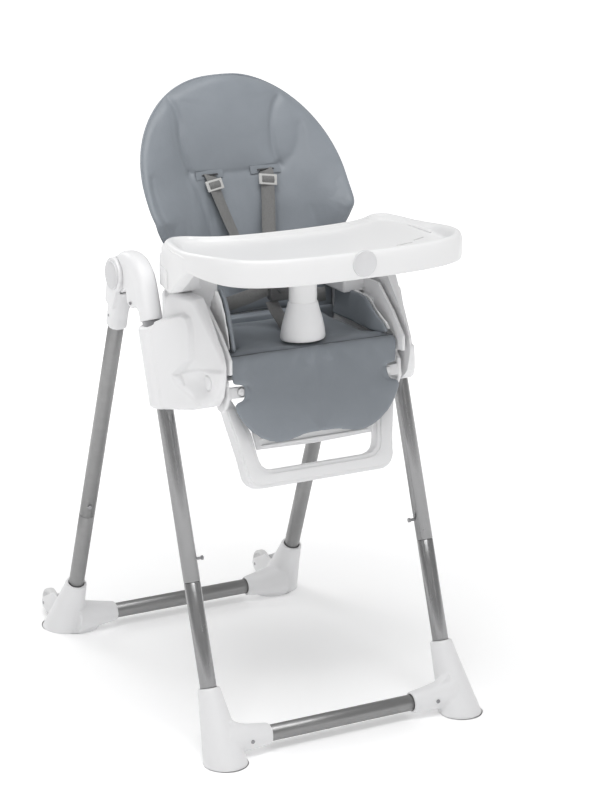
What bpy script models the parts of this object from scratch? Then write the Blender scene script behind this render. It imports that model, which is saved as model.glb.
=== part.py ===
"""Folding baby high chair: front and rear leg frames, sliding seat, reclining back, footrest and tray.

The child faces -Y, +X is the side at the right of someone who looks at the chair from the front, +Z is up.
Sizes are in metres. The chair stands on z = 0 and the origin is under the middle of its bounding box.
"""

import math
from functools import partial

import bmesh
import bpy
from mathutils import Matrix, Vector

# Leg frames
GAP = 0.0003
TUBE_R = 0.014
TUBE_BORE = 0.0125
NECK_R = 0.0121
LEG_X = 0.224
FRONT_Y0 = -0.3307
FRONT_SLOPE = 0.3472
REAR_Y0 = 0.3031
REAR_SLOPE = -0.384
PIVOT_Z = 0.747
PIVOT_Y = REAR_Y0 + REAR_SLOPE * PIVOT_Z
FRONT_SEAM_Z = 0.275
REAR_SEAM_Z = 0.26
LEG_FOOT_Z = 0.036
FRONT_TUBE_TOP_Z = 0.735
REAR_TUBE_TOP_Z = 0.704
CROSSBAR_Z = 0.027
CROSSBAR_END = 0.1775
FRONT_BAR_Y = FRONT_Y0 + FRONT_SLOPE * CROSSBAR_Z - 0.021
REAR_BAR_Y = REAR_Y0 + REAR_SLOPE * CROSSBAR_Z - 0.0045
FOOT_COLLAR_Z = 0.108
FOOT_COLLAR_R = 0.0195
FOOT_BASE_R = 0.042
FRONT_FOOT_Y = -0.3618
REAR_FOOT_Y = 0.330
STOP_PIN_Z = 0.3102
WHEEL_Y = 0.389
WHEEL_R = 0.026
WHEEL_Z = 0.0267
WHEEL_HALF = 0.008
AXLE_R = 0.003
WHEEL_ROOM = 0.0099
EAR_OFFSET = 0.0125
EAR_HALF = 0.0025

# Fold hinge
HINGE_R = 0.032
CHEEK_R = 0.030
KNUCKLE_INNER_X = 0.205
KNUCKLE_OUTER_X = 0.243
HINGE_SPLIT_X = 0.2362
CHEEK_OUTER_X = 0.2475
CAP_OUTER_X = 0.2545
SLEEVE_R = 0.019
SOCKET_LENGTH = 0.105

# Seat
SEAT_HALF = 0.146
SEAT_WALL = 0.0065
STRAP_WIDTH = 0.025
STRAP_THICKNESS = 0.0018
HOUSING_INNER_X = 0.1655
HOUSING_OUTER_X = 0.249
SLIDE_BORE_R = 0.0148
BUTTON_Y = -0.213
BUTTON_Z = 0.616
BUTTON_R = 0.0105
ARMREST_LOW = (0.118, -0.128, 0.7093)
ARMREST_HIGH = (0.1650, -0.055, 0.800)

# Footrest: its face leans forward as it goes down
FOOT_PIVOT_Y = -0.205
FOOT_PIVOT_Z = 0.632
FOOT_TILT = math.radians(17)
FOOT_FACE = 0.010
FOOTREST_LENGTH = 0.211
TAB_X = 0.1342
TAB_S = 0.0478
TAB_BUTTON_R = 0.0062

# Backrest: front surface line, dome and wings
BACK_Y = 0.037
BACK_Z = 0.894
BACK_SLOPE = 0.30
DOME_Z = 0.88
DOME_HALF = 0.192
BACK_BOTTOM_Z = 0.665
BACK_TOP_Z = 1.056
WAIST_HALF = 0.128
SHELL_BEHIND = 0.0345
RECLINE_Y = 0.0
RECLINE_Z = 0.635
RECLINE_PIN_R = 0.006

# Tray
TRAY_LOW_Z = 0.806
TRAY_TOP_Z = 0.848
DISH_Z = 0.826
TRAY_FRONT_Y = -0.4132
TRAY_MIDDLE_Y = -0.27
TRAY_HALF = 0.2325
POST_Y = -0.205
POST_LOW_Z = 0.6585

WHITE = ("white_plastic", (0.86, 0.86, 0.87), 0.32, 0.0)
TRAY_WHITE = ("tray_plastic", (0.88, 0.88, 0.885), 0.25, 0.0)
COVER = ("leatherette", (0.22, 0.25, 0.28), 0.5, 0.0)
WEBBING = ("webbing", (0.30, 0.30, 0.29), 0.85, 0.0)
CLIP = ("clip_plastic", (0.52, 0.52, 0.51), 0.45, 0.0)
TUBE = ("satin_tube", (0.42, 0.42, 0.43), 0.35, 0.9)
STEEL = ("steel_pin", (0.35, 0.35, 0.36), 0.3, 1.0)
BADGE = ("badge_grey", (0.62, 0.62, 0.64), 0.4, 0.0)
TREAD = ("wheel_grey", (0.50, 0.50, 0.50), 0.7, 0.0)

# YZ outlines lie in a plane across X: local X is world Y, local Y is world Z, local Z is world X
ACROSS_X = Matrix(((0, 0, 1), (1, 0, 0), (0, 1, 0))).to_4x4()
# XZ outlines lie in a plane across Y: local X is world X, local Y is world Z
ACROSS_Y = Matrix.Rotation(math.pi / 2, 4, "X")

SIDES = (("left", -1), ("right", 1))


def clear_scene():
    for obj in list(bpy.data.objects):
        bpy.data.objects.remove(obj)


def collection(name):
    made = bpy.data.collections.new(name)
    bpy.context.scene.collection.children.link(made)
    return made


def material(spec):
    name, color, roughness, metallic = spec
    made = bpy.data.materials.get(name)
    if made is None:
        made = bpy.data.materials.new(name)
        made.use_nodes = True
        shader = made.node_tree.nodes["Principled BSDF"]
        shader.inputs["Base Color"].default_value = (*color, 1)
        shader.inputs["Roughness"].default_value = roughness
        shader.inputs["Metallic"].default_value = metallic
    return made


def add(name, mesh, spec=None, matrix=None, parent=None):
    """Links a mesh as a part, or as a cutter when it has no material."""
    obj = bpy.data.objects.new(name, mesh)
    if spec is None:
        CUTTERS.objects.link(obj)
        obj.hide_render = True
        obj.display_type = "WIRE"
    else:
        CHAIR.objects.link(obj)
        mesh.materials.append(material(spec))
        mesh.shade_smooth()
        mesh.set_sharp_from_angle(angle=math.radians(35))
    if matrix is not None:
        obj.matrix_world = matrix
    if parent is not None:
        obj.parent = parent
        obj.matrix_parent_inverse = parent.matrix_world.inverted()
    return obj


def axis_empty(name, position, tilt=0.0):
    """An empty on a joint's axis."""
    empty = bpy.data.objects.new(name, None)
    empty.matrix_world = Matrix.Translation(position) @ Matrix.Rotation(tilt, 4, "X")
    CHAIR.objects.link(empty)
    bpy.context.view_layer.update()
    return empty


def along(start, end):
    """A matrix whose Z axis runs from start towards end."""
    direction = Vector(end) - Vector(start)
    turn = direction.to_track_quat("Z", "Y").to_matrix().to_4x4()
    return Matrix.Translation(start) @ turn


def cylinder_mesh(radius, depth, segments=24, top_radius=None):
    """A cylinder or cone from z = 0 to z = depth."""
    mesh = bpy.data.meshes.new("cylinder")
    bm = bmesh.new()
    top = radius if top_radius is None else top_radius
    bmesh.ops.create_cone(
        bm, cap_ends=True, segments=segments, radius1=radius, radius2=top, depth=depth,
        matrix=Matrix.Translation((0, 0, depth / 2)),
    )
    bm.to_mesh(mesh)
    bm.free()
    return mesh


def cylinder(name, radius, start, end, spec=None, parent=None, segments=24, top_radius=None):
    length = (Vector(end) - Vector(start)).length
    mesh = cylinder_mesh(radius, length, segments, top_radius)
    return add(name, mesh, spec, along(start, end), parent)


def box(name, low, high, spec=None, parent=None, bevel=0.0):
    mesh = bpy.data.meshes.new(name)
    size = Vector(high) - Vector(low)
    bm = bmesh.new()
    bmesh.ops.create_cube(bm, size=1, matrix=Matrix.Diagonal((*size, 1)))
    bm.to_mesh(mesh)
    bm.free()
    centre = (Vector(high) + Vector(low)) / 2
    obj = add(name, mesh, spec, Matrix.Translation(centre), parent)
    if bevel:
        round_edges(obj, bevel)
    return obj


def side_box(name, side, low, high, spec=None, parent=None, bevel=0.0):
    """A box given for the +X side, and mirrored to -X where side is -1."""
    xs = sorted((side * low[0], side * high[0]))
    return box(name, (xs[0], *low[1:]), (xs[1], *high[1:]), spec, parent, bevel)


def prism(name, points, depth, place, spec=None, parent=None, bevel=0.0):
    """A flat outline, extruded by depth about its own plane, as a mesh."""
    curve = bpy.data.curves.new(name, "CURVE")
    curve.dimensions = "2D"
    curve.fill_mode = "BOTH"
    curve.extrude = depth / 2
    spline = curve.splines.new("POLY")
    spline.points.add(len(points) - 1)
    for point, (x, y) in zip(spline.points, points):
        point.co = (x, y, 0, 1)
    spline.use_cyclic_u = True
    guide = bpy.data.objects.new("guide", curve)
    bpy.context.scene.collection.objects.link(guide)
    graph = bpy.context.evaluated_depsgraph_get()
    mesh = bpy.data.meshes.new_from_object(guide.evaluated_get(graph))
    bpy.data.objects.remove(guide)
    bm = bmesh.new()
    bm.from_mesh(mesh)
    bmesh.ops.remove_doubles(bm, verts=bm.verts, dist=1e-6)
    bmesh.ops.dissolve_limit(bm, angle_limit=0.01, verts=bm.verts, edges=bm.edges)
    bmesh.ops.recalc_face_normals(bm, faces=bm.faces)
    bm.to_mesh(mesh)
    bm.free()
    mesh.name = name
    obj = add(name, mesh, spec, place, parent)
    if bevel:
        round_edges(obj, bevel)
    return obj


def profile_prism(name, points, x_low, x_high, spec=None, parent=None, bevel=0.0):
    """An outline in Y and Z, extruded from x_low to x_high."""
    place = Matrix.Translation(((x_low + x_high) / 2, 0, 0)) @ ACROSS_X
    return prism(name, points, abs(x_high - x_low), place, spec, parent, bevel)


def turned(name, profile, place, spec=None, parent=None, steps=24, flatten=1.0):
    """A (radius, height) profile turned about local Z. It runs down the outer side first."""
    mesh = bpy.data.meshes.new(name)
    closed = profile[0][0] > 0
    count = len(profile)
    edges = [(i, i + 1) for i in range(count - 1)]
    if closed:
        edges.append((count - 1, 0))
    mesh.from_pydata([(r, 0, z) for r, z in profile], edges, [])
    obj = add(name, mesh, spec, place @ Matrix.Diagonal((1, flatten, 1, 1)), parent)
    screw = obj.modifiers.new("turn", "SCREW")
    screw.axis = "Z"
    screw.steps = steps
    screw.render_steps = steps
    screw.use_merge_vertices = True
    screw.merge_threshold = 1e-5
    screw.use_smooth_shade = True
    return obj


def round_edges(obj, width, segments=2, angle=35):
    bevel = obj.modifiers.new("round", "BEVEL")
    bevel.width = width
    bevel.segments = segments
    bevel.limit_method = "ANGLE"
    bevel.angle_limit = math.radians(angle)
    bevel.use_clamp_overlap = True
    return bevel


def combine(obj, other, operation):
    step = obj.modifiers.new(operation.lower(), "BOOLEAN")
    step.operation = operation
    step.object = other
    step.solver = "EXACT"
    return obj


def cut(obj, *cutters):
    for cutter in cutters:
        combine(obj, cutter, "DIFFERENCE")
    return obj


def join(obj, *others):
    for other in others:
        combine(obj, other, "UNION")
    return obj


def arc(centre, radius, start, end, count):
    """Points on an arc, with angles in degrees."""
    steps = [math.radians(start + (end - start) * i / (count - 1)) for i in range(count)]
    return [(centre[0] + radius * math.cos(a), centre[1] + radius * math.sin(a)) for a in steps]


def front_y(z):
    return FRONT_Y0 + FRONT_SLOPE * z


def rear_y(z):
    return REAR_Y0 + REAR_SLOPE * z


def front_point(side, z):
    return Vector((side * LEG_X, front_y(z), z))


def rear_point(side, z):
    return Vector((side * LEG_X, rear_y(z), z))


def leg_pair(prefix, side_name, point, seam_z, top_z, parent):
    """A lower tube whose swaged neck goes up inside the upper tube."""
    low, seam, top = (point(z) for z in (LEG_FOOT_Z, seam_z, top_z))
    length = (seam - low).length
    neck = 0.04
    wall = NECK_R - 0.0014
    lower = [(NECK_R, length + neck), (NECK_R, length), (TUBE_R, length), (TUBE_R, 0), (wall, 0)]
    lower.append((wall, length + neck))
    turned(f"{prefix}_leg_lower_{side_name}", lower, along(low, seam), TUBE, parent)
    start = 0.0004
    end = (top - seam).length
    upper = [(TUBE_R, end), (TUBE_R, start), (TUBE_BORE, start), (TUBE_BORE, end)]
    turned(f"{prefix}_leg_upper_{side_name}", upper, along(seam, top), TUBE, parent)


def crossbar(name, y, parent):
    end = CROSSBAR_END
    ring = [(TUBE_R, 2 * end), (TUBE_R, 0), (TUBE_BORE, 0), (TUBE_BORE, 2 * end)]
    place = along((-end, y, CROSSBAR_Z), (end, y, CROSSBAR_Z))
    turned(name, ring, place, TUBE, parent)


def wheel_fork(boot, side):
    """Two ears behind the boot that carry the wheel's axle."""
    for offset in (-EAR_OFFSET, EAR_OFFSET):
        ear = [(REAR_FOOT_Y, 0.006), (WHEEL_Y, WHEEL_Z - 0.011)]
        ear += arc((WHEEL_Y, WHEEL_Z), 0.011, -60, 75, 6)
        ear += [(REAR_FOOT_Y + 0.008, 0.062), (REAR_FOOT_Y - 0.01, 0.05)]
        centre = side * LEG_X + offset
        join(boot, profile_prism(f"{boot.name}_ear", ear, centre - EAR_HALF, centre + EAR_HALF))
    middle = Vector((side * LEG_X, WHEEL_Y, WHEEL_Z))
    room = Vector((WHEEL_ROOM, 0, 0))
    reach = Vector((0.02, 0, 0))
    wheel_room = cylinder(f"{boot.name}_wheel_room", WHEEL_R + 0.002, middle - room, middle + room)
    axle_bore = cylinder(f"{boot.name}_axle_bore", AXLE_R + GAP, middle - reach, middle + reach, segments=12)
    cut(boot, wheel_room, axle_bore)


def foot(prefix, side_name, side, point, base_y, bar_y, parent):
    """A flared boot round the leg's end, with an arm that takes the crossbar."""
    collar = point(FOOT_COLLAR_Z)
    base = Vector((side * (LEG_X + 0.002), base_y, -0.004))
    mesh = cylinder_mesh(FOOT_BASE_R, FOOT_COLLAR_Z - base.z, 24, FOOT_COLLAR_R)
    for vertex in mesh.vertices:
        if vertex.co.z > 0.01:
            vertex.co += Vector((collar.x - base.x, collar.y - base.y, 0))
    boot = add(f"{prefix}_foot_{side_name}", mesh, WHITE, Matrix.Translation(base), parent)
    arm = cylinder(
        f"{boot.name}_arm", 0.034, (side * 0.222, bar_y, CROSSBAR_Z + 0.004),
        (side * 0.137, bar_y, CROSSBAR_Z), segments=20, top_radius=0.0185,
    )
    join(boot, arm)
    if prefix == "rear":
        wheel_fork(boot, side)
    floor = box(f"{boot.name}_floor", (-0.4, base_y - 0.2, -0.1), (0.4, base_y + 0.2, 0))
    leg_bore = cylinder(f"{boot.name}_bore", TUBE_R + 0.0004, point(LEG_FOOT_Z - 0.0006), point(0.16))
    bar_bore = cylinder(
        f"{boot.name}_bar_bore", TUBE_R + 0.0004, (side * (CROSSBAR_END + 0.0005), bar_y, CROSSBAR_Z),
        (side * 0.10, bar_y, CROSSBAR_Z),
    )
    return cut(boot, floor, leg_bore, bar_bore)


def wheel(side_name, side):
    centre = side * LEG_X
    place = along((centre - WHEEL_HALF, WHEEL_Y, WHEEL_Z), (centre + WHEEL_HALF, WHEEL_Y, WHEEL_Z))
    bore = AXLE_R + 0.00005
    edge = 0.003
    width = 2 * WHEEL_HALF
    profile = [(bore, width), (WHEEL_R - edge, width), (WHEEL_R, width - edge), (WHEEL_R, edge)]
    profile += [(WHEEL_R - edge, 0), (bore, 0)]
    turned(f"wheel_{side_name}", profile, place, TREAD)
    cylinder(
        f"wheel_axle_{side_name}", AXLE_R, (centre - 0.0155, WHEEL_Y, WHEEL_Z),
        (centre + 0.0155, WHEEL_Y, WHEEL_Z), STEEL, segments=24,
    )


def hinge_housing(side_name, side):
    """The arch that grips the front leg and carries the fold pivot behind it."""
    back = SLEEVE_R / math.cos(math.atan(FRONT_SLOPE))
    low_front = (front_y(0.690) - back * 0.89, 0.696)
    low_back = (front_y(0.690) + back * 0.89, 0.684)
    outline = [low_front, (front_y(0.751) - back, 0.751)]
    outline += [(-0.078, 0.776), (-0.055, 0.793), (-0.020, 0.7985), (0.014, 0.792)]
    outline += arc((PIVOT_Y, PIVOT_Z), HINGE_R, 60, -150, 10)
    outline += [(-0.0235, 0.7265), (-0.031, 0.703), (-0.044, 0.699), (-0.058, 0.706), low_back]
    inner, outer = side * KNUCKLE_INNER_X, side * KNUCKLE_OUTER_X
    body = profile_prism(f"hinge_housing_{side_name}", outline, inner, outer, WHITE, bevel=0.006)
    bore = cylinder(f"{body.name}_bore", TUBE_R + GAP, front_point(side, 0.60), front_point(side, 0.7355))
    recess = cylinder(
        f"{body.name}_recess", HINGE_R + 0.001, (side * HINGE_SPLIT_X, PIVOT_Y, PIVOT_Z),
        (side * 0.26, PIVOT_Y, PIVOT_Z), segments=32,
    )
    pin_bore = cylinder(
        f"{body.name}_pin_bore", 0.00405, (side * 0.19, PIVOT_Y, PIVOT_Z), (side * 0.26, PIVOT_Y, PIVOT_Z),
    )
    cut(body, bore, recess, pin_bore)


def hinge_pin(side_name, side):
    """A headed pin from the inner face to inside the outer cheek."""
    head = 0.0035
    length = CHEEK_OUTER_X - 0.001 - KNUCKLE_INNER_X + head
    start = side * (KNUCKLE_INNER_X - head - GAP)
    place = along((start, PIVOT_Y, PIVOT_Z), (start + side, PIVOT_Y, PIVOT_Z))
    profile = [(0, length), (0.004, length), (0.004, head), (0.008, head), (0.008, 0), (0, 0)]
    turned(f"hinge_pin_{side_name}", profile, place, STEEL)


def hinge_socket(side_name, side, frame):
    """The rear leg's socket, with a cheek that laps over the hinge's outer side."""
    half = 0.020
    down = Vector((0, -REAR_SLOPE, -1)).normalized()
    tilt = math.atan2(-down.z, down.y)
    shape = arc((0, 0), CHEEK_R, 42, 318, 16)
    shape += [(SOCKET_LENGTH - 0.002, -half), (SOCKET_LENGTH, -half + 0.002), (SOCKET_LENGTH, half - 0.002)]
    shape.append((SOCKET_LENGTH - 0.002, half))
    middle = side * (KNUCKLE_INNER_X + CHEEK_OUTER_X) / 2
    turn = Matrix.Rotation(-tilt, 4, "X")
    place = Matrix.Translation((middle, PIVOT_Y, PIVOT_Z)) @ turn @ ACROSS_X
    body = prism(
        f"hinge_socket_{side_name}", shape, CHEEK_OUTER_X - KNUCKLE_INNER_X, place, WHITE, frame, bevel=0.004,
    )
    room = cylinder(
        f"{body.name}_room", HINGE_R + 0.001, (side * 0.19, PIVOT_Y, PIVOT_Z),
        (side * (HINGE_SPLIT_X + 0.0004), PIVOT_Y, PIVOT_Z), segments=32,
    )
    tube_end = rear_point(side, REAR_TUBE_TOP_Z + 0.0005)
    bore = cylinder(f"{body.name}_bore", TUBE_R + 0.0004, rear_point(side, 0.6), tube_end)
    pin_bore = cylinder(
        f"{body.name}_pin_bore", 0.00405, (side * 0.23, PIVOT_Y, PIVOT_Z),
        (side * (CHEEK_OUTER_X - 0.0006), PIVOT_Y, PIVOT_Z),
    )
    cut(body, room, bore, pin_bore)
    place = along((side * (CHEEK_OUTER_X + GAP), PIVOT_Y, PIVOT_Z), (side, PIVOT_Y, PIVOT_Z))
    thick = CAP_OUTER_X - CHEEK_OUTER_X - GAP
    dome = [(0, thick), (0.017, thick), (0.022, thick - 0.002), (0.024, thick - 0.0045), (0.024, 0), (0, 0)]
    turned(f"hinge_cap_{side_name}", dome, place, BADGE, frame)


def stop_pin(side_name, side):
    start = front_point(side, STOP_PIN_Z)
    start.x = side * (LEG_X - TUBE_R - GAP)
    place = along(start, start + Vector((-side, 0, 0)))
    profile = [(0, 0.012), (0.004, 0.012), (0.004, 0.009), (0.0025, 0.009), (0.0025, 0), (0, 0)]
    turned(f"height_stop_pin_{side_name}", profile, place, STEEL, steps=12)


def leg_frames(rear):
    crossbar("front_crossbar", FRONT_BAR_Y, None)
    crossbar("rear_crossbar", REAR_BAR_Y, rear)
    for side_name, side in SIDES:
        front = partial(front_point, side)
        back = partial(rear_point, side)
        leg_pair("front", side_name, front, FRONT_SEAM_Z, FRONT_TUBE_TOP_Z, None)
        leg_pair("rear", side_name, back, REAR_SEAM_Z, REAR_TUBE_TOP_Z, rear)
        foot("front", side_name, side, front, FRONT_FOOT_Y, FRONT_BAR_Y, None)
        foot("rear", side_name, side, back, REAR_FOOT_Y, REAR_BAR_Y, rear)
        hinge_housing(side_name, side)
        hinge_pin(side_name, side)
        hinge_socket(side_name, side, rear)
        stop_pin(side_name, side)
        wheel(side_name, side)


def slide_housing(side_name, side, seat):
    """The side cover that slides on the front leg: a round bulge over the tube that thins to the front."""
    profile = [(-0.188, 0.744), (-0.231, 0.702), (-0.273, 0.661), (-0.281, 0.648), (-0.284, 0.632)]
    profile += [(-0.277, 0.608), (-0.262, 0.590), (-0.240, 0.576), (-0.200, 0.566), (-0.155, 0.5555)]
    profile += [(-0.110, 0.548), (-0.098, 0.556), (-0.060, 0.664), (-0.058, 0.676), (-0.073, 0.682)]
    profile += [(-0.105, 0.676), (-0.118, 0.690), (-0.118, 0.744)]
    inner, outer = HOUSING_INNER_X, HOUSING_OUTER_X + 0.006
    body = profile_prism(f"slide_housing_{side_name}", profile, side * inner, side * outer, WHITE)
    plan = [(0.0, -0.30), (0.012, -0.30), (0.017, -0.24), (0.020, -0.17), (0.028, -0.12), (0.044, -0.072)]
    plan += [(0.064, -0.035)]
    plan += [(LEG_X - inner + x, y) for x, y in arc((0, 0), 0.025, -45, 90, 9)]
    plan += [(0.030, 0.027), (0.0, 0.027)]
    low, high = 0.50, 0.80
    direction = Vector((0, FRONT_SLOPE, 1))
    shear = Matrix(((side, 0, 0, 0), (0, 1, FRONT_SLOPE, 0), (0, 0, 1, 0), (0, 0, 0, 1)))
    centre = Vector((side * inner, front_y((low + high) / 2), (low + high) / 2))
    slab = prism(f"{body.name}_plan", plan, high - low, Matrix.Identity(4))
    slab.data.transform(shear)
    if side < 0:
        slab.data.flip_normals()
    slab.matrix_world = Matrix.Translation(centre)
    combine(body, slab, "INTERSECT")
    bore = cylinder(
        f"{body.name}_bore", SLIDE_BORE_R, front_point(side, 0.50), front_point(side, 0.50) + direction * 0.3,
    )
    bottom, face, past = (Vector((side * x, BUTTON_Y, BUTTON_Z)) for x in (0.173, 0.1905, 0.27))
    button_room = cylinder(f"{body.name}_button_room", BUTTON_R + 0.0007, bottom, past)
    cut(body, bore, button_room)
    back = bottom + Vector((side * 0.0055, 0, 0))
    cylinder(f"height_button_{side_name}", BUTTON_R, back, face, WHITE, seat)


def recline_cylinder(name, radius, side, inner_x, outer_x):
    """A round on the recline axis, as a cutter or a piece to join."""
    ends = [(side * x, RECLINE_Y, RECLINE_Z) for x in (inner_x, outer_x)]
    return cylinder(name, radius, *ends)


def knee_roll(radius):
    """The seat pad's front, an arc about the footrest's pivot, so the footrest clears it."""
    return arc((FOOT_PIVOT_Y, FOOT_PIVOT_Z), radius, 148, 205, 7)


def seat(body):
    """The white tub, its pad and side pads, the armrests and the harness fixed to the seat."""
    wall = [(-0.205, 0.602), (0.036, 0.602), (0.036, 0.700), (0.030, 0.706), (-0.165, 0.706)]
    wall += [(-0.196, 0.690), (-0.207, 0.670), (-0.207, 0.610)]
    tub = profile_prism("seat_shell", wall, -SEAT_HALF, SEAT_HALF, WHITE, body)
    inner = SEAT_HALF - SEAT_WALL
    cut(tub, box("seat_room", (-inner, -0.3, 0.610), (inner, 0.1, 0.8)))
    for side_name, side in SIDES:
        cut(tub, recline_cylinder(f"recline_bore_{side_name}", RECLINE_PIN_R + 0.00005, side, 0.12, 0.15))
        slide_housing(side_name, side, body)
        side_box(f"armrest_{side_name}", side, ARMREST_LOW, ARMREST_HIGH, WHITE, body, 0.004)
        wing = [(-0.164, 0.7045), (-0.192, 0.6885), (-0.212, 0.668), (-0.218, 0.658)]
        wing += [(-0.075, 0.658), (-0.075, 0.7045)]
        profile_prism(f"side_pad_{side_name}", wing, side * 0.127, side * (inner - GAP), COVER, body)
        lap_strap(side_name, side, body)
    pad = knee_roll(0.038)
    pad += [(-0.2078, 0.6165), (-0.044, 0.6165), (-0.044, 0.648), (-0.075, 0.6555)]
    pad += [(-0.12, 0.6575)]
    seat_pad(pad, body)
    crotch = [(0, -0.150, 0.6605), (0, -0.138, 0.680), (0, -0.126, 0.702)]
    strap("crotch_strap", crotch, body)
    box("harness_buckle", (-0.021, -0.131, 0.705), (0.021, -0.113, 0.748), CLIP, body, 0.004)


def seat_pad(outline, body):
    """The pad: wide over the knee roll, narrower between the tub's walls."""
    pad = profile_prism("seat_cushion", outline, -0.1545, 0.1545, COVER, body)
    for side_name, side in SIDES:
        cut(pad, side_box(f"seat_cushion_trim_{side_name}", side, (0.1262, -0.2078, 0.5), (0.2, 0.1, 0.8)))


def strap(name, path, parent, across=Vector((STRAP_WIDTH / 2, 0, 0))):
    """A flat webbing strap through the points of path, across to each side of it."""
    count = len(path)
    mesh = bpy.data.meshes.new(name)
    bm = bmesh.new()
    bmesh.ops.create_grid(bm, x_segments=1, y_segments=count - 1, size=0.5)
    for vertex in bm.verts:
        row = round((vertex.co.y + 0.5) * (count - 1))
        vertex.co = Vector(path[row]) + across * math.copysign(1, vertex.co.x)
    bm.to_mesh(mesh)
    bm.free()
    obj = add(name, mesh, WEBBING, None, parent)
    shell = obj.modifiers.new("thickness", "SOLIDIFY")
    shell.thickness = STRAP_THICKNESS
    shell.offset = 0


def lap_strap(side_name, side, body):
    """A waist strap on edge, from the tub's side to the buckle."""
    start, end = Vector((side * 0.118, -0.065, 0.690)), Vector((side * 0.0225, -0.121, 0.728))
    path = [start, (start + end) / 2 + Vector((0, -0.006, -0.004)), end]
    strap(f"lap_strap_{side_name}", path, body, Vector((0, 0, 0.012)))


def back_line(z):
    """Y of the backrest's front surface on the centre line."""
    return BACK_Y + BACK_SLOPE * (z - BACK_Z)


def back_half(z):
    """Half the backrest's width: an elliptical dome over a waist."""
    if z > DOME_Z:
        return DOME_HALF * math.sqrt(max(0.0, 1 - ((z - DOME_Z) / (1.06 - DOME_Z)) ** 2))
    fall = min(1.0, (DOME_Z - z) / 0.17)
    return WAIST_HALF + (DOME_HALF - WAIST_HALF) * (0.5 + 0.5 * math.cos(math.pi * fall))


def back_wing(z):
    """How far the side edges come forward of the centre line."""
    if z > 0.84:
        return 0.068 - 0.088 * (z - 0.84) / 0.21
    return 0.068 - 0.038 * min(1.0, (0.84 - z) / 0.09)


def back_sheet(name, spec, parent, behind, thickness, shrink, low_z, high_z):
    """A curved sheet behind the backrest's front surface, with its thickness towards the back."""
    mesh = bpy.data.meshes.new(name)
    bm = bmesh.new()
    bmesh.ops.create_grid(bm, x_segments=12, y_segments=16, size=1)
    for vertex in bm.verts:
        share, rise = vertex.co.x, (vertex.co.y + 1) / 2
        z = low_z + (high_z - low_z) * (1 - (1 - rise) ** 1.25)
        y = back_line(z) - back_wing(z) * share * share + behind
        vertex.co = Vector((share * (back_half(z) - shrink), y, z))
    bmesh.ops.recalc_face_normals(bm, faces=bm.faces)
    bm.to_mesh(mesh)
    bm.free()
    obj = add(name, mesh, spec, None, parent)
    shell = obj.modifiers.new("thickness", "SOLIDIFY")
    shell.thickness = thickness
    shell.offset = 1 if mesh.polygons[0].normal.y > 0 else -1
    return obj


def back_front(x, z):
    """Y of the backrest's front surface at x and z."""
    return back_line(z) - back_wing(z) * (x / back_half(z)) ** 2


def shoulder_point(side, share):
    """A point on the shoulder strap, from its slot at share 0 to its lower end at share 1."""
    x = 0.0536 - 0.03 * share
    z = 0.894 - 0.17 * share
    return Vector((side * x, back_front(x + STRAP_WIDTH / 2, z) - 0.0045 - 0.016 * share, z))


def backrest(body):
    back_sheet("backrest_cushion", COVER, body, 0.0, 0.020, 0.0, BACK_BOTTOM_Z, BACK_TOP_Z)
    low_z, high_z = BACK_BOTTOM_Z - 0.022, BACK_TOP_Z - 0.03
    shell = back_sheet("backrest_shell", WHITE, body, SHELL_BEHIND, 0.004, 0.004, low_z, high_z)
    for side_name, side in SIDES:
        ear = [(-0.0315, 0.648), (-0.009, 0.625), (0.0, 0.622), (0.010, 0.626), (0.014, 0.642)]
        ear += [(-0.008, 0.705), (-0.0175, 0.705)]
        join(shell, profile_prism(f"backrest_ear_{side_name}", ear, side * 0.122, side * 0.1388))
        join(shell, recline_cylinder(f"backrest_pin_{side_name}", RECLINE_PIN_R, side, 0.13, 0.1452))
        path = [shoulder_point(side, share) for share in (0, 0.2, 0.5, 1)]
        strap(f"shoulder_strap_{side_name}", path, body)
        clip = shoulder_point(side, 0.16) - Vector((0, 0.008, 0))
        half = Vector((0.0165, 0.002, 0.010))
        box(f"strap_adjuster_{side_name}", clip - half, clip + half, CLIP, body)
    grip = [(0.0, 0.0), (0.024, 0.0), (0.024, 0.012), (0.016, 0.024), (0.0, 0.024)]
    place = Matrix.Translation((0, back_line(0.969) + SHELL_BEHIND + 0.006, 0.945)) @ ACROSS_X
    prism("recline_handle", grip, 0.11, place, WHITE, body, bevel=0.003)


def foot_place(s, depth):
    """World Y and Z of a point s down the footrest's face and depth behind it."""
    down = Vector((-math.sin(FOOT_TILT), -math.cos(FOOT_TILT)))
    behind = Vector((math.cos(FOOT_TILT), -math.sin(FOOT_TILT)))
    return Vector((FOOT_PIVOT_Y, FOOT_PIVOT_Z)) + down * s + behind * (depth - FOOT_FACE)


def foot_slab(name, outline, front, back, spec, body=None, bevel=0.0):
    """An outline in X and distance down the footrest, between two depths behind its face."""
    centre = foot_place(0, (front + back) / 2)
    turn = Matrix.Rotation(-FOOT_TILT, 4, "X")
    place = Matrix.Translation((0, *centre)) @ turn @ ACROSS_Y
    return prism(name, [(x, -s) for x, s in outline], back - front, place, spec, body, bevel)


def mirrored(half):
    """A closed outline from its +X half, listed from the centre line round to the centre line."""
    return half + [(-x, y) for x, y in reversed(half) if x > 1e-6]


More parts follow.
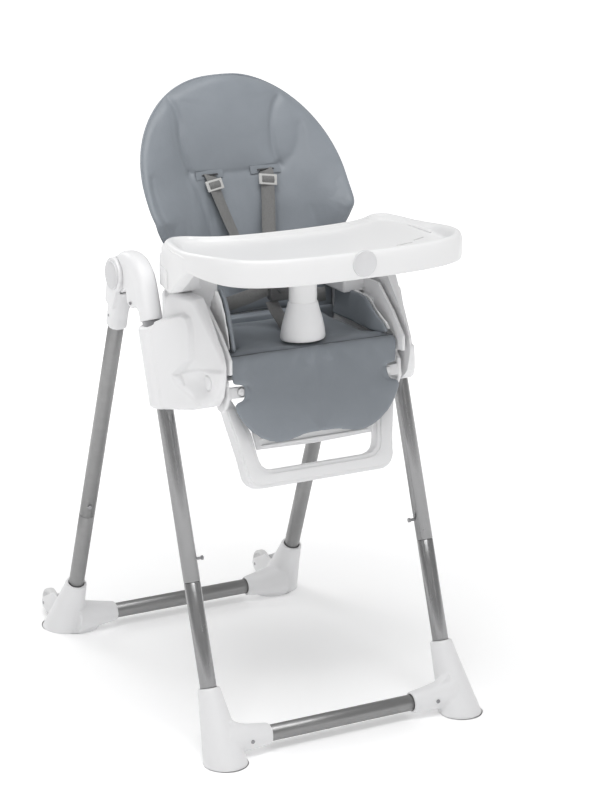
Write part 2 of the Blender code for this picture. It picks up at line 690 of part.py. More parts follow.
def footrest(body):
    length = FOOTREST_LENGTH
    outer = [(0.1642, -0.010), (0.1642, 0.045), (0.158, 0.085), (0.150, 0.125), (0.143, 0.160)]
    outer += [(x, s) for x, s in arc((0.112, length - 0.028), 0.028, 10, 90, 6)]
    inner = [(0.088, 0.182), (0.100, 0.179), (0.110, 0.170), (0.113, 0.155), (0.118, 0.120), (0.134, 0.080)]
    inner += [(0.146, 0.060), (0.1565, 0.040), (0.1565, -0.010)]
    frame = outer + [(-x, s) for x, s in reversed(outer)] + [(-x, s) for x, s in reversed(inner)] + inner
    rails = foot_slab("footrest_frame", frame, 0.0, 0.024, WHITE, body)
    panel = [(0.108, 0.060), (0.1165, 0.080), (0.1120, 0.118), (0.1080, 0.145), (0.095, 0.150)]
    foot_slab("calf_panel", mirrored(panel), 0.008, 0.014, WHITE, body)
    flap = [(0.119, 0.0385), (0.119, 0.052), (0.126, 0.0585), (0.152, 0.0605), (0.148, 0.078)]
    flap += [(0.140, 0.096), (0.124, 0.118), (0.098, 0.133), (0.070, 0.138)]
    flap += [(0.045, 0.133), (0.02, 0.129), (0.0, 0.129)]
    foot_slab("calf_cushion", mirrored(flap), -0.018, -0.0008, COVER, body)
    for side_name, side in SIDES:
        tab = [(side * x, s) for x, s in arc((TAB_X, TAB_S), 0.009, 90, 270, 9)]
        tab += [(side * 0.160, TAB_S - 0.009), (side * 0.160, TAB_S + 0.009)]
        join(rails, foot_slab(f"footrest_tab_{side_name}", tab, -0.012, 0.012, None))
        centre = side * (TAB_X + 0.003)
        depths = (-0.0085, -0.0123, -0.0173)
        bottom, back, face = (Vector((centre, *foot_place(TAB_S, depth))) for depth in depths)
        bore = cylinder(f"footrest_bore_{side_name}", TAB_BUTTON_R + 0.0005, bottom, face)
        cut(rails, bore)
        cylinder(f"footrest_button_{side_name}", TAB_BUTTON_R, back, face, WHITE, body, 20)


def tray_outline(inset=0.0):
    """The tray seen from above, as a closed list of points."""
    half = [(0.0, TRAY_FRONT_Y), (0.055, TRAY_FRONT_Y + 0.001), (0.105, -0.4075), (0.150, -0.397)]
    half += [(0.186, -0.380), (0.210, -0.354), (0.224, -0.318), (0.2305, -0.275), (TRAY_HALF, -0.225)]
    half += [(TRAY_HALF, -0.160), (0.229, -0.130), (0.221, -0.112), (0.205, -0.106), (0.190, -0.110)]
    half += [(0.168, -0.124), (0.130, -0.142), (0.080, -0.152), (0.0, -0.156)]
    shrunk = []
    for x, y in half:
        depth = y - TRAY_MIDDLE_Y
        step = math.copysign(min(inset, abs(depth)), depth)
        shrunk.append((x * (1 - inset / TRAY_HALF), y - step))
    return mirrored(shrunk)


def level_prism(name, outline, low, high, spec=None, body=None, bevel=0.0):
    return prism(name, outline, high - low, Matrix.Translation((0, 0, (low + high) / 2)), spec, body, bevel)


def tray(body):
    top = level_prism("tray", tray_outline(), TRAY_LOW_Z, TRAY_TOP_Z, TRAY_WHITE, body, bevel=0.005)
    dish = level_prism("tray_dish", tray_outline(0.016), DISH_Z, 0.90)
    hollow = level_prism("tray_hollow", tray_outline(0.004), 0.79, DISH_Z - 0.003)
    cut(top, dish, hollow)
    for side_name, side in SIDES:
        skirt = side_box(f"tray_arm_{side_name}", side, (0.2085, -0.225, 0.757), (0.2315, -0.107, 0.8255))
        join(top, skirt)
    place = along((0, TRAY_FRONT_Y - GAP, 0.826), (0, -1, 0.826))
    disc = [(0, 0.0015), (0.0165, 0.0015), (0.0175, 0.0005), (0.0175, 0), (0, 0)]
    turned("tray_badge", disc, place, BADGE, body)
    top_z = DISH_Z - 0.003 - GAP
    post = [(0, top_z), (0.0245, top_z), (0.0250, 0.720), (0.0285, 0.712), (0.0345, 0.694), (0.0385, 0.668)]
    post += [(0.040, POST_LOW_Z + 0.004), (0.038, POST_LOW_Z), (0, POST_LOW_Z)]
    turned("crotch_post", post, Matrix.Translation((0, POST_Y, 0)), WHITE, body, 28, 0.78)
    box("tray_release", (-0.045, -0.395, 0.809), (0.045, -0.378, 0.819), WHITE, body, 0.002)


clear_scene()
CHAIR = collection("high_chair")
CUTTERS = collection("cutters")
REAR_AXIS = axis_empty("fold_axis", (0, PIVOT_Y, PIVOT_Z))
SEAT_AXIS = axis_empty("height_axis", (0, front_y(0.62), 0.62))
BACK_AXIS = axis_empty("recline_axis", (0, RECLINE_Y, RECLINE_Z))
FOOT_AXIS = axis_empty("footrest_axis", (0, FOOT_PIVOT_Y, FOOT_PIVOT_Z))
TRAY_AXIS = axis_empty("tray_axis", (0, -0.25, TRAY_LOW_Z))
leg_frames(REAR_AXIS)
seat(SEAT_AXIS)
backrest(BACK_AXIS)
footrest(FOOT_AXIS)
tray(TRAY_AXIS)
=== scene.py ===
"""Looks of the folding baby high chair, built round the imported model. Metres, +Z up, the child faces -Y."""

import math

import bmesh
import bpy
import numpy as np
from mathutils import Matrix, Vector, noise


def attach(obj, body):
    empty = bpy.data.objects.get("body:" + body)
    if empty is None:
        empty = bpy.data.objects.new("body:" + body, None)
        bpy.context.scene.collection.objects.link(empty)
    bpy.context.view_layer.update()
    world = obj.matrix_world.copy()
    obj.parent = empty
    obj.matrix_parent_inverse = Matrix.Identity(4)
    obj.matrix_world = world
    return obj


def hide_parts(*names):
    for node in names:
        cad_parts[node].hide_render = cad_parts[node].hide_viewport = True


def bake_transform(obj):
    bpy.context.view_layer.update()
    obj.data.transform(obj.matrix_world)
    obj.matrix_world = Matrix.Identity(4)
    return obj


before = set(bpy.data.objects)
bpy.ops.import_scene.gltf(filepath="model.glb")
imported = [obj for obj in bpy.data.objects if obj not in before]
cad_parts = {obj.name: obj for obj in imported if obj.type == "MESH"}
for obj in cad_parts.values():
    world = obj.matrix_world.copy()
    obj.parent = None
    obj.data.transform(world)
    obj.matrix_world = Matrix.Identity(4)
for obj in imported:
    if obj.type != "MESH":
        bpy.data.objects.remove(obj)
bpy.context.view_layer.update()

SIDES = (("left", -1), ("right", 1))

# Leg frames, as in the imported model
TUBE_R = 0.014
LEG_X = 0.224
FRONT_Y0 = -0.3307
FRONT_SLOPE = 0.3472
REAR_Y0 = 0.3031
REAR_SLOPE = -0.384
FRONT_SEAM_Z = 0.275
REAR_SEAM_Z = 0.26
PIVOT = Vector((0, 0.01625, 0.747))
COLLAR_Z = 0.108
COLLAR_R = 0.0195
BASE_R = 0.038
FRONT_BASE_Y = -0.3618
REAR_BASE_Y = 0.330
BAR_Z = 0.027
FRONT_BAR_Y = FRONT_Y0 + FRONT_SLOPE * BAR_Z - 0.021
REAR_BAR_Y = REAR_Y0 + REAR_SLOPE * BAR_Z - 0.0045
KNUCKLE_INNER_X = 0.205
KNUCKLE_OUTER_X = 0.243
HINGE_SPLIT_X = 0.2362
CHEEK_OUTER_X = 0.2475

# Seat, footrest and back
HOUSING_INNER_X = 0.1655
FOOT_PIVOT = Vector((0, -0.205, 0.632))
FOOT_TILT = math.radians(17)
FOOT_FACE = 0.010
KNEE_R = 0.0385
TAB_X = 0.1342
TAB_S = 0.0478
BACK_Y = 0.037
BACK_Z = 0.894
BACK_SLOPE = 0.30
DOME_Z = 0.88
DOME_HALF = 0.192
WAIST_HALF = 0.128
BACK_BOTTOM_Z = 0.665
SHELL_BEHIND = 0.0345

# Tray
DISH_Z = 0.826
TRAY_LOW_Z = 0.806
POST_Y = -0.205

# Camera and lights: name, place, target, width, watts, and height where it isn't the width
CAMERA_PLACE = Vector((-1.9261, -3.8281, 1.7868))
CAMERA_TARGET = Vector((0, -0.195, 0.5475))
CAMERA_LENS = 114.86
CAMERA_SENSOR = 36
LIGHTS = (
    ("top", (-0.5, -1.1, 4.2), (0, -0.1, 0.4), 2.6, 104),
    ("key", (-1.9, -2.9, 2.3), (0, -0.1, 0.6), 1.2, 1),
    ("back", (-1.0, 2.8, 2.2), (0, 0, 0.7), 1.2, 16),
    ("strip_left", (-3.0, -1.5, 1.8), (-0.1, -0.2, 0.4), 0.12, 1.3, 1.9),
    ("strip_right", (0.45, -3.3, 1.75), (0, -0.2, 0.4), 0.07, 2.2, 1.9),
)
FLOOR_RADIUS = 40
FLOOR_Z = -0.0004

ACROSS_X = Matrix(((0, 0, 1), (1, 0, 0), (0, 1, 0))).to_4x4()
ACROSS_Y = Matrix.Rotation(math.pi / 2, 4, "X")


# ---------------------------------------------------------------- materials

def nodes_of(name, roughness, metallic=0.0):
    made = bpy.data.materials.new(name)
    made.use_nodes = True
    tree = made.node_tree
    surface = tree.nodes["Principled BSDF"]
    surface.inputs["Roughness"].default_value = roughness
    surface.inputs["Metallic"].default_value = metallic
    return made, tree, surface


def texture(tree, kind, scale, stretch=(1, 1, 1), **values):
    """A texture node in object coordinates."""
    place = tree.nodes.new("ShaderNodeTexCoord")
    mapping = tree.nodes.new("ShaderNodeMapping")
    mapping.inputs["Scale"].default_value = stretch
    made = tree.nodes.new(kind)
    made.inputs["Scale"].default_value = scale
    for key, value in values.items():
        made.inputs[key].default_value = value
    tree.links.new(place.outputs["Object"], mapping.inputs["Vector"])
    tree.links.new(mapping.outputs["Vector"], made.inputs["Vector"])
    return made


def ramp(tree, source, low, high, start=0.3, end=0.7):
    """A colour between low and high by a texture's value."""
    made = tree.nodes.new("ShaderNodeValToRGB")
    made.color_ramp.elements[0].position = start
    made.color_ramp.elements[1].position = end
    made.color_ramp.elements[0].color = (*low, 1)
    made.color_ramp.elements[1].color = (*high, 1)
    tree.links.new(source, made.inputs["Fac"])
    return made.outputs["Color"]


def spread(tree, source, low, high):
    made = tree.nodes.new("ShaderNodeMapRange")
    made.inputs["From Min"].default_value = 0.3
    made.inputs["From Max"].default_value = 0.7
    made.inputs["To Min"].default_value = low
    made.inputs["To Max"].default_value = high
    tree.links.new(source, made.inputs["Value"])
    return made.outputs["Result"]


def bump(tree, height, strength, distance, under=None):
    made = tree.nodes.new("ShaderNodeBump")
    made.inputs["Strength"].default_value = strength
    made.inputs["Distance"].default_value = distance
    tree.links.new(height, made.inputs["Height"])
    if under is not None:
        tree.links.new(under, made.inputs["Normal"])
    return made.outputs["Normal"]


def shade(color, factor):
    return tuple(min(1.0, part * factor) for part in color)


def plastic(name, color, roughness, grain=0.12):
    """Moulded plastic: a faint spark-eroded grain, or none on polished parts, and a slightly uneven gloss."""
    made, tree, surface = nodes_of(name, roughness)
    slow = texture(tree, "ShaderNodeTexNoise", 5, Detail=1)
    fine = texture(tree, "ShaderNodeTexNoise", 700, Detail=1)
    color_out = ramp(tree, slow.outputs["Fac"], shade(color, 0.985), shade(color, 1.0), 0.2, 0.8)
    tree.links.new(color_out, surface.inputs["Base Color"])
    rough = spread(tree, slow.outputs["Fac"], roughness * 0.95, roughness * 1.05)
    tree.links.new(rough, surface.inputs["Roughness"])
    if grain:
        tree.links.new(bump(tree, fine.outputs["Fac"], grain, 0.0002), surface.inputs["Normal"])
    surface.inputs["Specular IOR Level"].default_value = 0.45
    return made


def leatherette(name, color):
    """Wipeable coated fabric: pebbled grain, soft creases, and tone that drifts a little."""
    made, tree, surface = nodes_of(name, 0.46)
    drift = texture(tree, "ShaderNodeTexNoise", 9, Detail=4, Roughness=0.6)
    pebble = texture(tree, "ShaderNodeTexVoronoi", 900)
    crease = texture(tree, "ShaderNodeTexNoise", 45, Detail=5, Roughness=0.65, Distortion=0.6)
    fine = texture(tree, "ShaderNodeTexNoise", 2200, Detail=2)
    color_out = ramp(tree, drift.outputs["Fac"], shade(color, 0.93), shade(color, 1.05))
    tree.links.new(color_out, surface.inputs["Base Color"])
    tree.links.new(spread(tree, drift.outputs["Fac"], 0.42, 0.52), surface.inputs["Roughness"])
    soft = bump(tree, crease.outputs["Fac"], 0.22, 0.0022)
    grain = bump(tree, pebble.outputs["Distance"], 0.16, 0.0004, soft)
    tree.links.new(bump(tree, fine.outputs["Fac"], 0.08, 0.0002, grain), surface.inputs["Normal"])
    surface.inputs["Specular IOR Level"].default_value = 0.42
    surface.inputs["Sheen Weight"].default_value = 0.12
    surface.inputs["Sheen Roughness"].default_value = 0.4
    return made


def webbing(name, color):
    """Woven polyester tape with ribs across it; its colour is painted lighter on the yarns and darker in the
    gaps between them, as painted shade.
    """
    made, tree, surface = nodes_of(name, 0.72)
    ribs = texture(tree, "ShaderNodeTexWave", 330, (0.35, 0.35, 1))
    ribs.bands_direction = "Z"
    yarn = texture(tree, "ShaderNodeTexVoronoi", 1100, (1, 1, 0.5))
    # painted light and shade: brighter at each yarn cell's middle, darker towards the gaps between yarns
    # where shade falls
    color_out = ramp(tree, yarn.outputs["Distance"], shade(color, 1.12), shade(color, 0.8), 0.1, 0.8)
    tree.links.new(color_out, surface.inputs["Base Color"])
    low = bump(tree, ribs.outputs["Fac"], 0.5, 0.0005)
    tree.links.new(bump(tree, yarn.outputs["Distance"], 0.4, 0.0004, low), surface.inputs["Normal"])
    surface.inputs["Sheen Weight"].default_value = 0.2
    return made


def metal(name, color, roughness, stretch):
    """Painted or bare tube: fine streaks along the drawn length and a faintly mottled gloss."""
    made, tree, surface = nodes_of(name, roughness, 0.85)
    lines = texture(tree, "ShaderNodeTexNoise", 90, stretch, Detail=2)
    mottle = texture(tree, "ShaderNodeTexNoise", 60, Detail=3)
    color_out = ramp(tree, lines.outputs["Fac"], shade(color, 0.97), shade(color, 1.03))
    tree.links.new(color_out, surface.inputs["Base Color"])
    rough = spread(tree, mottle.outputs["Fac"], roughness * 0.85, roughness * 1.15)
    tree.links.new(rough, surface.inputs["Roughness"])
    return made


WHITE = plastic("white_plastic", (0.785, 0.785, 0.792), 0.36)
TRAY_WHITE = plastic("tray_plastic", (0.765, 0.765, 0.768), 0.30, 0)
LINING = plastic("white_lining", (0.84, 0.84, 0.84), 0.3, 0.3)
COVER = leatherette("leatherette", (0.228, 0.250, 0.276))
TAPE = webbing("webbing", (0.185, 0.185, 0.183))
CLIP = plastic("clip_plastic", (0.50, 0.50, 0.49), 0.38)
BUCKLE = plastic("buckle_plastic", (0.11, 0.11, 0.112), 0.4)
# painted shade: a near-black plastic used only to stand in for the shade inside each harness slot's opening
SLOT_SHADE = plastic("painted_slot_shade", (0.05, 0.05, 0.052), 0.6)
TUBE = metal("satin_tube", (0.300, 0.300, 0.303), 0.24, (1, 1, 0.02))
BAR = metal("satin_bar", (0.29, 0.29, 0.29), 0.36, (0.02, 1, 1))
STEEL = metal("steel_pin", (0.33, 0.33, 0.34), 0.3, (1, 1, 1))
BADGE = plastic("badge_grey", (0.64, 0.64, 0.65), 0.42)
TREAD = plastic("wheel_grey", (0.74, 0.74, 0.74), 0.55)
# painted shade: a much darker copy of the cover's leatherette, for the shade in the crease of the seat's
# front seam
SEAM_SHADE = leatherette("leatherette_seam_shade", (0.10, 0.11, 0.123))


# ---------------------------------------------------------------- mesh tools

def from_bm(bm):
    bmesh.ops.recalc_face_normals(bm, faces=bm.faces)
    mesh = bpy.data.meshes.new("mesh")
    bm.to_mesh(mesh)
    bm.free()
    return mesh


def put(name, mesh, material, body, slot, *nodes, crease=40):
    """Links a finished mesh as a piece that rides on a body."""
    obj = bpy.data.objects.new(name, mesh)
    bpy.context.scene.collection.objects.link(obj)
    mesh.materials.clear()
    mesh.materials.append(material)
    mesh.shade_smooth()
    mesh.set_sharp_from_angle(angle=math.radians(crease))
    if body is not None:
        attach(obj, body)
    if nodes:
        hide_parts(*nodes)
    return obj


def modified(mesh, *steps):
    """The mesh with modifiers applied. Each step is (type, settings)."""
    obj = bpy.data.objects.new("temporary", mesh)
    bpy.context.scene.collection.objects.link(obj)
    for kind, settings in steps:
        modifier = obj.modifiers.new(kind.lower(), kind)
        for key, value in settings.items():
            setattr(modifier, key, value)
    graph = bpy.context.evaluated_depsgraph_get()
    result = bpy.data.meshes.new_from_object(obj.evaluated_get(graph))
    bpy.data.objects.remove(obj)
    return result


def along(start, end):
    """A frame at start with its Z axis towards end."""
    direction = Vector(end) - Vector(start)
    return Matrix.Translation(start) @ direction.to_track_quat("Z", "Y").to_matrix().to_4x4()


def loft(rings, around=False):
    """Joins rings of points that have the same count, closed with a cap at each end or on itself."""
    count = len(rings[0])
    rows = len(rings)
    bm = bmesh.new()
    grid = [[bm.verts.new(point) for point in ring] for ring in rings]
    for i in range(rows if around else rows - 1):
        after = grid[(i + 1) % rows]
        for j in range(count):
            k = (j + 1) % count
            bm.faces.new((grid[i][j], grid[i][k], after[k], after[j]))
    if not around:
        bm.faces.new(grid[0])
        bm.faces.new(grid[-1])
    return from_bm(bm)


def cone(start, end, low_r, high_r=None, segments=48):
    length = (Vector(end) - Vector(start)).length
    bm = bmesh.new()
    bmesh.ops.create_cone(
        bm, cap_ends=True, segments=segments, radius1=low_r, radius2=low_r if high_r is None else high_r,
        depth=length, matrix=along(start, end) @ Matrix.Translation((0, 0, length / 2)),
    )
    return from_bm(bm)


def lathe(profile, place, segments=64, flatten=1.0, around=False):
    """Turns a (radius, height) profile about local Z."""
    turns = [2 * math.pi * i / segments for i in range(segments)]
    rings = [
        [place @ Vector((r * math.cos(a), r * math.sin(a) * flatten, h)) for a in turns] for r, h in profile
    ]
    return loft(rings, around)


def rounded(mesh, width, segments=3, angle=30):
    settings = {
        "width": width, "segments": segments, "limit_method": "ANGLE", "angle_limit": math.radians(angle),
        "use_clamp_overlap": True,
    }
    return modified(mesh, ("BEVEL", settings))


def slab(outline, low, high, place=None, bevel=0.0, segments=3, angle=30):
    """A flat outline, thickened from low to high along local Z."""
    bm = bmesh.new()
    face = bm.faces.new([bm.verts.new((x, y, low)) for x, y in outline])
    out = bmesh.ops.extrude_face_region(bm, geom=[face])
    top = [item for item in out["geom"] if isinstance(item, bmesh.types.BMVert)]
    bmesh.ops.translate(bm, verts=top, vec=(0, 0, high - low))
    if place is not None:
        bm.transform(place)
    mesh = from_bm(bm)
    return rounded(mesh, bevel, segments, angle) if bevel else mesh


def side_slab(outline, side, x_low, x_high, bevel=0.0, segments=3, angle=30):
    """An outline in Y and Z, between two distances from the middle plane on one side."""
    low, high = sorted((side * x_low, side * x_high))
    return slab(outline, low, high, ACROSS_X, bevel, segments, angle)


def block(low, high, bevel=0.0, segments=3):
    """A box between two corners."""
    outline = [(low[0], low[1]), (high[0], low[1]), (high[0], high[1]), (low[0], high[1])]
    return slab(outline, low[2], high[2], None, bevel, segments)


def side_block(side, low, high, bevel=0.0):
    xs = sorted((side * low[0], side * high[0]))
    return block((xs[0], *low[1:]), (xs[1], *high[1:]), bevel)


def merged(*parts):
    bm = bmesh.new()
    for part in parts:
        bm.from_mesh(part)
    mesh = bpy.data.meshes.new("mesh")
    bm.to_mesh(mesh)
    bm.free()
    return mesh


def fuse(parts, voxel, soften):
    """One skin round overlapping closed shapes, with blended corners."""
    remesh = {"mode": "VOXEL", "voxel_size": voxel}
    smooth = {"factor": 0.5, "iterations": soften}
    return modified(merged(*parts), ("REMESH", remesh), ("SMOOTH", smooth))


def carve(mesh, *cutters):
    """Cuts closed shapes out of a mesh."""
    hidden = []
    steps = []
    for cutter in cutters:
        tool = bpy.data.objects.new("cutter", cutter)
        bpy.context.scene.collection.objects.link(tool)
        hidden.append(tool)
        steps.append(("BOOLEAN", {"operation": "DIFFERENCE", "object": tool, "solver": "EXACT"}))
    result = modified(mesh, *steps)
    for tool in hidden:
        bpy.data.objects.remove(tool)
    return result


def arc(centre, radius, start, end, count):
    """Points on a circle, from start to end in degrees."""
    steps = [math.radians(start + (end - start) * i / (count - 1)) for i in range(count)]
    return [(centre[0] + radius * math.cos(a), centre[1] + radius * math.sin(a)) for a in steps]


def curve_through(points, per=8, closed=True):
    """A smooth line through points of any dimension."""
    count = len(points)
    line = []
    for i in range(count if closed else count - 1):
        picks = [i - 1, i, i + 1, i + 2]
        if closed:
            a, b, c, d = (np.array(points[k % count]) for k in picks)
        else:
            a, b, c, d = (np.array(points[min(max(k, 0), count - 1)]) for k in picks)
        for j in range(per):
            t = j / per
            line.append(
                0.5 * (2 * b + (c - a) * t + (2 * a - 5 * b + 4 * c - d) * t * t
                       + (3 * b - a - 3 * c + d) * t**3)
            )
    if not closed:
        line.append(np.array(points[-1]))
    return line


def mirrored(half):
    """A closed outline from its +X half, listed from the middle line round to the middle line."""
    return half + [(-x, y) for x, y in reversed(half) if x > 1e-6]


def coords(mesh):
    flat = np.empty(len(mesh.vertices) * 3, np.float32)
    mesh.vertices.foreach_get("co", flat)
    return flat.reshape(-1, 3).astype(float)


def set_coords(mesh, points):
    mesh.vertices.foreach_set("co", points.astype(np.float32).ravel())
    mesh.update()


def smooth_step(value):
    """0 below 0, 1 above 1, and an S-shaped ease between."""
    t = np.clip(value, 0, 1)
    return t * t * (3 - 2 * t)


def line_distance(points, line, closed=False):
    """Distance of 2D points to a line of 2D points."""
    starts = np.array(line, float)
    ends = np.roll(starts, -1, axis=0)
    if not closed:
        starts, ends = starts[:-1], ends[:-1]
    best = np.full(len(points), 1e9)
    for a, b in zip(starts, ends):
        step = b - a
        size = max(1e-12, step @ step)
        t = np.clip(((points - a) @ step) / size, 0, 1)
        best = np.minimum(best, np.linalg.norm(points - a - t[:, None] * step, axis=1))
    return best


def inside(points, outline):
    """Whether 2D points lie in a closed outline."""
    x, y = points[:, 0], points[:, 1]
    found = np.zeros(len(points), bool)
    for (x0, y0), (x1, y1) in zip(outline, [*outline[1:], outline[0]]):
        crosses = (y0 > y) != (y1 > y)
        at = x0 + (y - y0) * (x1 - x0) / ((y1 - y0) or 1e-12)
        found ^= crosses & (x < at)
    return found


def leg_point(front, side, z):
    """The point at height z on a leg's centre line."""
    y = FRONT_Y0 + FRONT_SLOPE * z if front else REAR_Y0 + REAR_SLOPE * z
    return Vector((side * LEG_X, y, z))


# ---------------------------------------------------------------- leg frames

def tube(name, start, end, body, material, *nodes):
    """A round tube with softened ends."""
    length = (Vector(end) - Vector(start)).length
    soft = 0.0009
    profile = [(TUBE_R - 3 * soft, 0), (TUBE_R - soft, 0), (TUBE_R, soft), (TUBE_R, length - soft)]
    profile += [(TUBE_R - soft, length), (TUBE_R - 3 * soft, length)]
    return put(name, lathe(profile, along(start, end), 72), material, body, "satin_tube", *nodes, crease=60)


def screw_head(name, centre, normal, body, radius=0.0034):
    """A countersunk screw: a ring, a dished head and a cross recess."""
    place = along(centre, Vector(centre) + Vector(normal))
    head = lathe([(radius, -0.002), (radius, 0.0001), (radius * 0.8, 0.0005), (0.0004, 0.0006)], place, 28)
    bars = [
        slab([(-radius * 0.6, -0.0005), (radius * 0.6, -0.0005), (radius * 0.6, 0.0005),
              (-radius * 0.6, 0.0005)],
             0.0001, 0.001, place @ Matrix.Rotation(turn, 4, "Z"))
        for turn in (0, math.pi / 2)
    ]
    return put(name, carve(head, *bars), STEEL, body, "steel_pin")


def foot(front, side_name, side):
    """A flared boot that blends into the arm for the crossbar."""
    prefix = "front" if front else "rear"
    body = f"{prefix}_frame"
    base_y = FRONT_BASE_Y if front else REAR_BASE_Y
    bar_y = FRONT_BAR_Y if front else REAR_BAR_Y
    collar = leg_point(front, side, COLLAR_Z)
    lean = (leg_point(front, side, 1) - leg_point(front, side, 0)).normalized()
    rings = []
    for i in range(17):
        t = i / 16
        centre = Vector((side * (LEG_X + 0.002), base_y, -0.006)).lerp(collar, t)
        radius = COLLAR_R + (BASE_R + 0.0005 - COLLAR_R) * (1 - t) ** 1.12
        longer = 1.0 if front else 1.0 + 0.20 * (1 - t)
        up = Vector((0, 0, 1)).lerp(lean, t).normalized()
        across = Vector((1, 0, 0))
        ahead = up.cross(across)
        rings.append([
            centre + across * radius * math.cos(a) + ahead * radius * longer * math.sin(a)
            for a in (2 * math.pi * j / 64 for j in range(64))
        ])
    parts = [loft(rings)]
    arm_start = (side * 0.218, bar_y, BAR_Z + 0.004)
    arm_end = (side * 0.139, bar_y, BAR_Z)
    parts.append(cone(arm_start, arm_end, 0.0265 if front else 0.031, 0.0185))
    parts.append(cone((side * 0.165, bar_y, BAR_Z), (side * 0.1365, bar_y, BAR_Z), 0.0186))
    if front:
        web = [(0.0, 0.004), (0.0, 0.066), (0.020, 0.054), (0.040, 0.048), (0.068, 0.045), (0.068, 0.012)]
        place = Matrix.Translation((side * 0.208, bar_y, 0)) @ Matrix.Diagonal((-side, 1, 1, 1)) @ ACROSS_Y
        parts.append(slab(web, -0.0085, 0.0085, place))
    else:
        parts.append(cone((side * 0.205, 0.310, -0.004), (side * 0.185, bar_y, 0.030), 0.040, 0.020))
        for offset in (-0.0125, 0.0125):
            ear = [(REAR_BASE_Y, 0.008), (0.389, 0.0135), *arc((0.389, 0.0267), 0.0125, -70, 80, 8)]
            ear += [(0.344, 0.063), (0.318, 0.056)]
            middle = side * LEG_X + offset
            parts.append(slab(ear, middle - 0.0028, middle + 0.0028, ACROSS_X))
    skin = fuse(parts, 0.0019, 12)
    points = coords(skin)
    points[:, 2] = np.maximum(points[:, 2], 0.0)
    set_coords(skin, points)
    bore = cone(leg_point(front, side, COLLAR_Z - 0.012), leg_point(front, side, 0.2), TUBE_R + 0.0012)
    end = cone((side * 0.150, bar_y, BAR_Z), (side * 0.10, bar_y, BAR_Z), TUBE_R + 0.0009)
    cutters = [bore, end]
    if not front:
        middle = side * LEG_X
        cutters.append(cone((middle - 0.0095, 0.389, 0.0267), (middle + 0.0095, 0.389, 0.0267), 0.0278))
    name = f"{prefix}_foot_{side_name}"
    put(f"{name}_moulding", carve(skin, *cutters), WHITE, body, "white_plastic", name, crease=50)
    pad = [(side * LEG_X + 0.033 * math.cos(a), base_y + 0.033 * math.sin(a))
           for a in (2 * math.pi * j / 40 for j in range(40))]
    put(f"{name}_sole", slab(pad, 0.0, 0.0022, None, 0.0006, 2), TREAD, body, "wheel_grey")
    if front:
        screw_head(f"{name}_screw", (side * 0.178, bar_y - 0.0235, BAR_Z + 0.002), (0, -1, 0), body)


def wheel(side_name, side):
    """A small wheel with a ribbed hub and a rounded tread."""
    half = 0.0078
    radius = 0.0259
    place = along((side * LEG_X - half, 0.389, 0.0267), (side * LEG_X + half, 0.389, 0.0267))
    rim = [(0.0038, 0.0), (0.008, 0.0), (0.009, 0.002), (0.0185, 0.002), (0.020, 0.0), (radius - 0.0035, 0.0)]
    rim += [(radius - r * 0.0035, 0.0035 * q) for r, q in ((0.6, 0.12), (0.25, 0.4), (0.0, 1.0))]
    profile = rim + [(r, 2 * half - h) for r, h in reversed(rim)]
    name = f"wheel_{side_name}"
    put(f"{name}_moulding", lathe(profile, place, 56, 1.0, True), TREAD, name, "wheel_grey", name, crease=45)


def boxy(value):
    """Turns a circle's sine or cosine into a rounded square's."""
    return math.copysign(abs(value) ** 0.72, value)


def knuckle(side_name, side):
    """The arch over the front tube and its boss at the fold pivot."""
    name = f"hinge_housing_{side_name}"
    spine = curve_through([
        (-0.0911, 0.690), (-0.0715, 0.743), (-0.0580, 0.7625), (-0.037, 0.7735), (-0.011, 0.7735),
        (0.009, 0.765), (PIVOT.y, PIVOT.z),
    ], 6, False)
    middle = side * (KNUCKLE_INNER_X + KNUCKLE_OUTER_X) / 2
    rings = []
    for i, point in enumerate(spine):
        before, after = spine[max(0, i - 1)], spine[min(len(spine) - 1, i + 1)]
        out = Vector((0, after[1] - before[1], -(after[0] - before[0]))).normalized()
        rings.append([
            Vector((middle, *point)) + Vector((0.0176 * boxy(math.cos(a)), 0, 0))
            + out * 0.0192 * boxy(math.sin(a))
            for a in (2 * math.pi * j / 40 for j in range(40))
        ])
    web = [(-0.083, 0.700), (-0.066, 0.754), (-0.040, 0.776), (0.004, 0.776), (0.028, 0.765), (0.030, 0.735)]
    web += [(-0.0125, 0.7305), (-0.0235, 0.7275), (-0.031, 0.707), (-0.044, 0.701), (-0.060, 0.708)]
    parts = [loft(rings)]
    parts.append(side_slab(web, side, KNUCKLE_INNER_X + 0.0018, KNUCKLE_OUTER_X - 0.0022))
    outer, split = side * HINGE_SPLIT_X, side * KNUCKLE_INNER_X
    parts.append(cone((split, PIVOT.y, PIVOT.z), (outer, PIVOT.y, PIVOT.z), 0.0318, None, 72))
    skin = fuse(parts, 0.0017, 7)
    recess = cone((outer, PIVOT.y, PIVOT.z), (side * 0.28, PIVOT.y, PIVOT.z), 0.0338, None, 72)
    bore = cone(leg_point(True, side, 0.66), leg_point(True, side, 0.698), TUBE_R + 0.0012)
    put(f"{name}_moulding", carve(skin, recess, bore), WHITE, "front_frame", "white_plastic", name, crease=50)
    screw_head(f"{name}_screw", (side * 0.2432, -0.0465, 0.7115), (side, 0, 0), "front_frame", 0.0028)
    strip = lathe([(0.0149, 0.0), (0.0156, 0.0006), (0.0156, 0.0094), (0.0149, 0.010)],
                  along(leg_point(True, side, 0.6805), leg_point(True, side, 0.70)), 64)
    put(f"{name}_ring", strip, STEEL, "front_frame", "steel_pin")


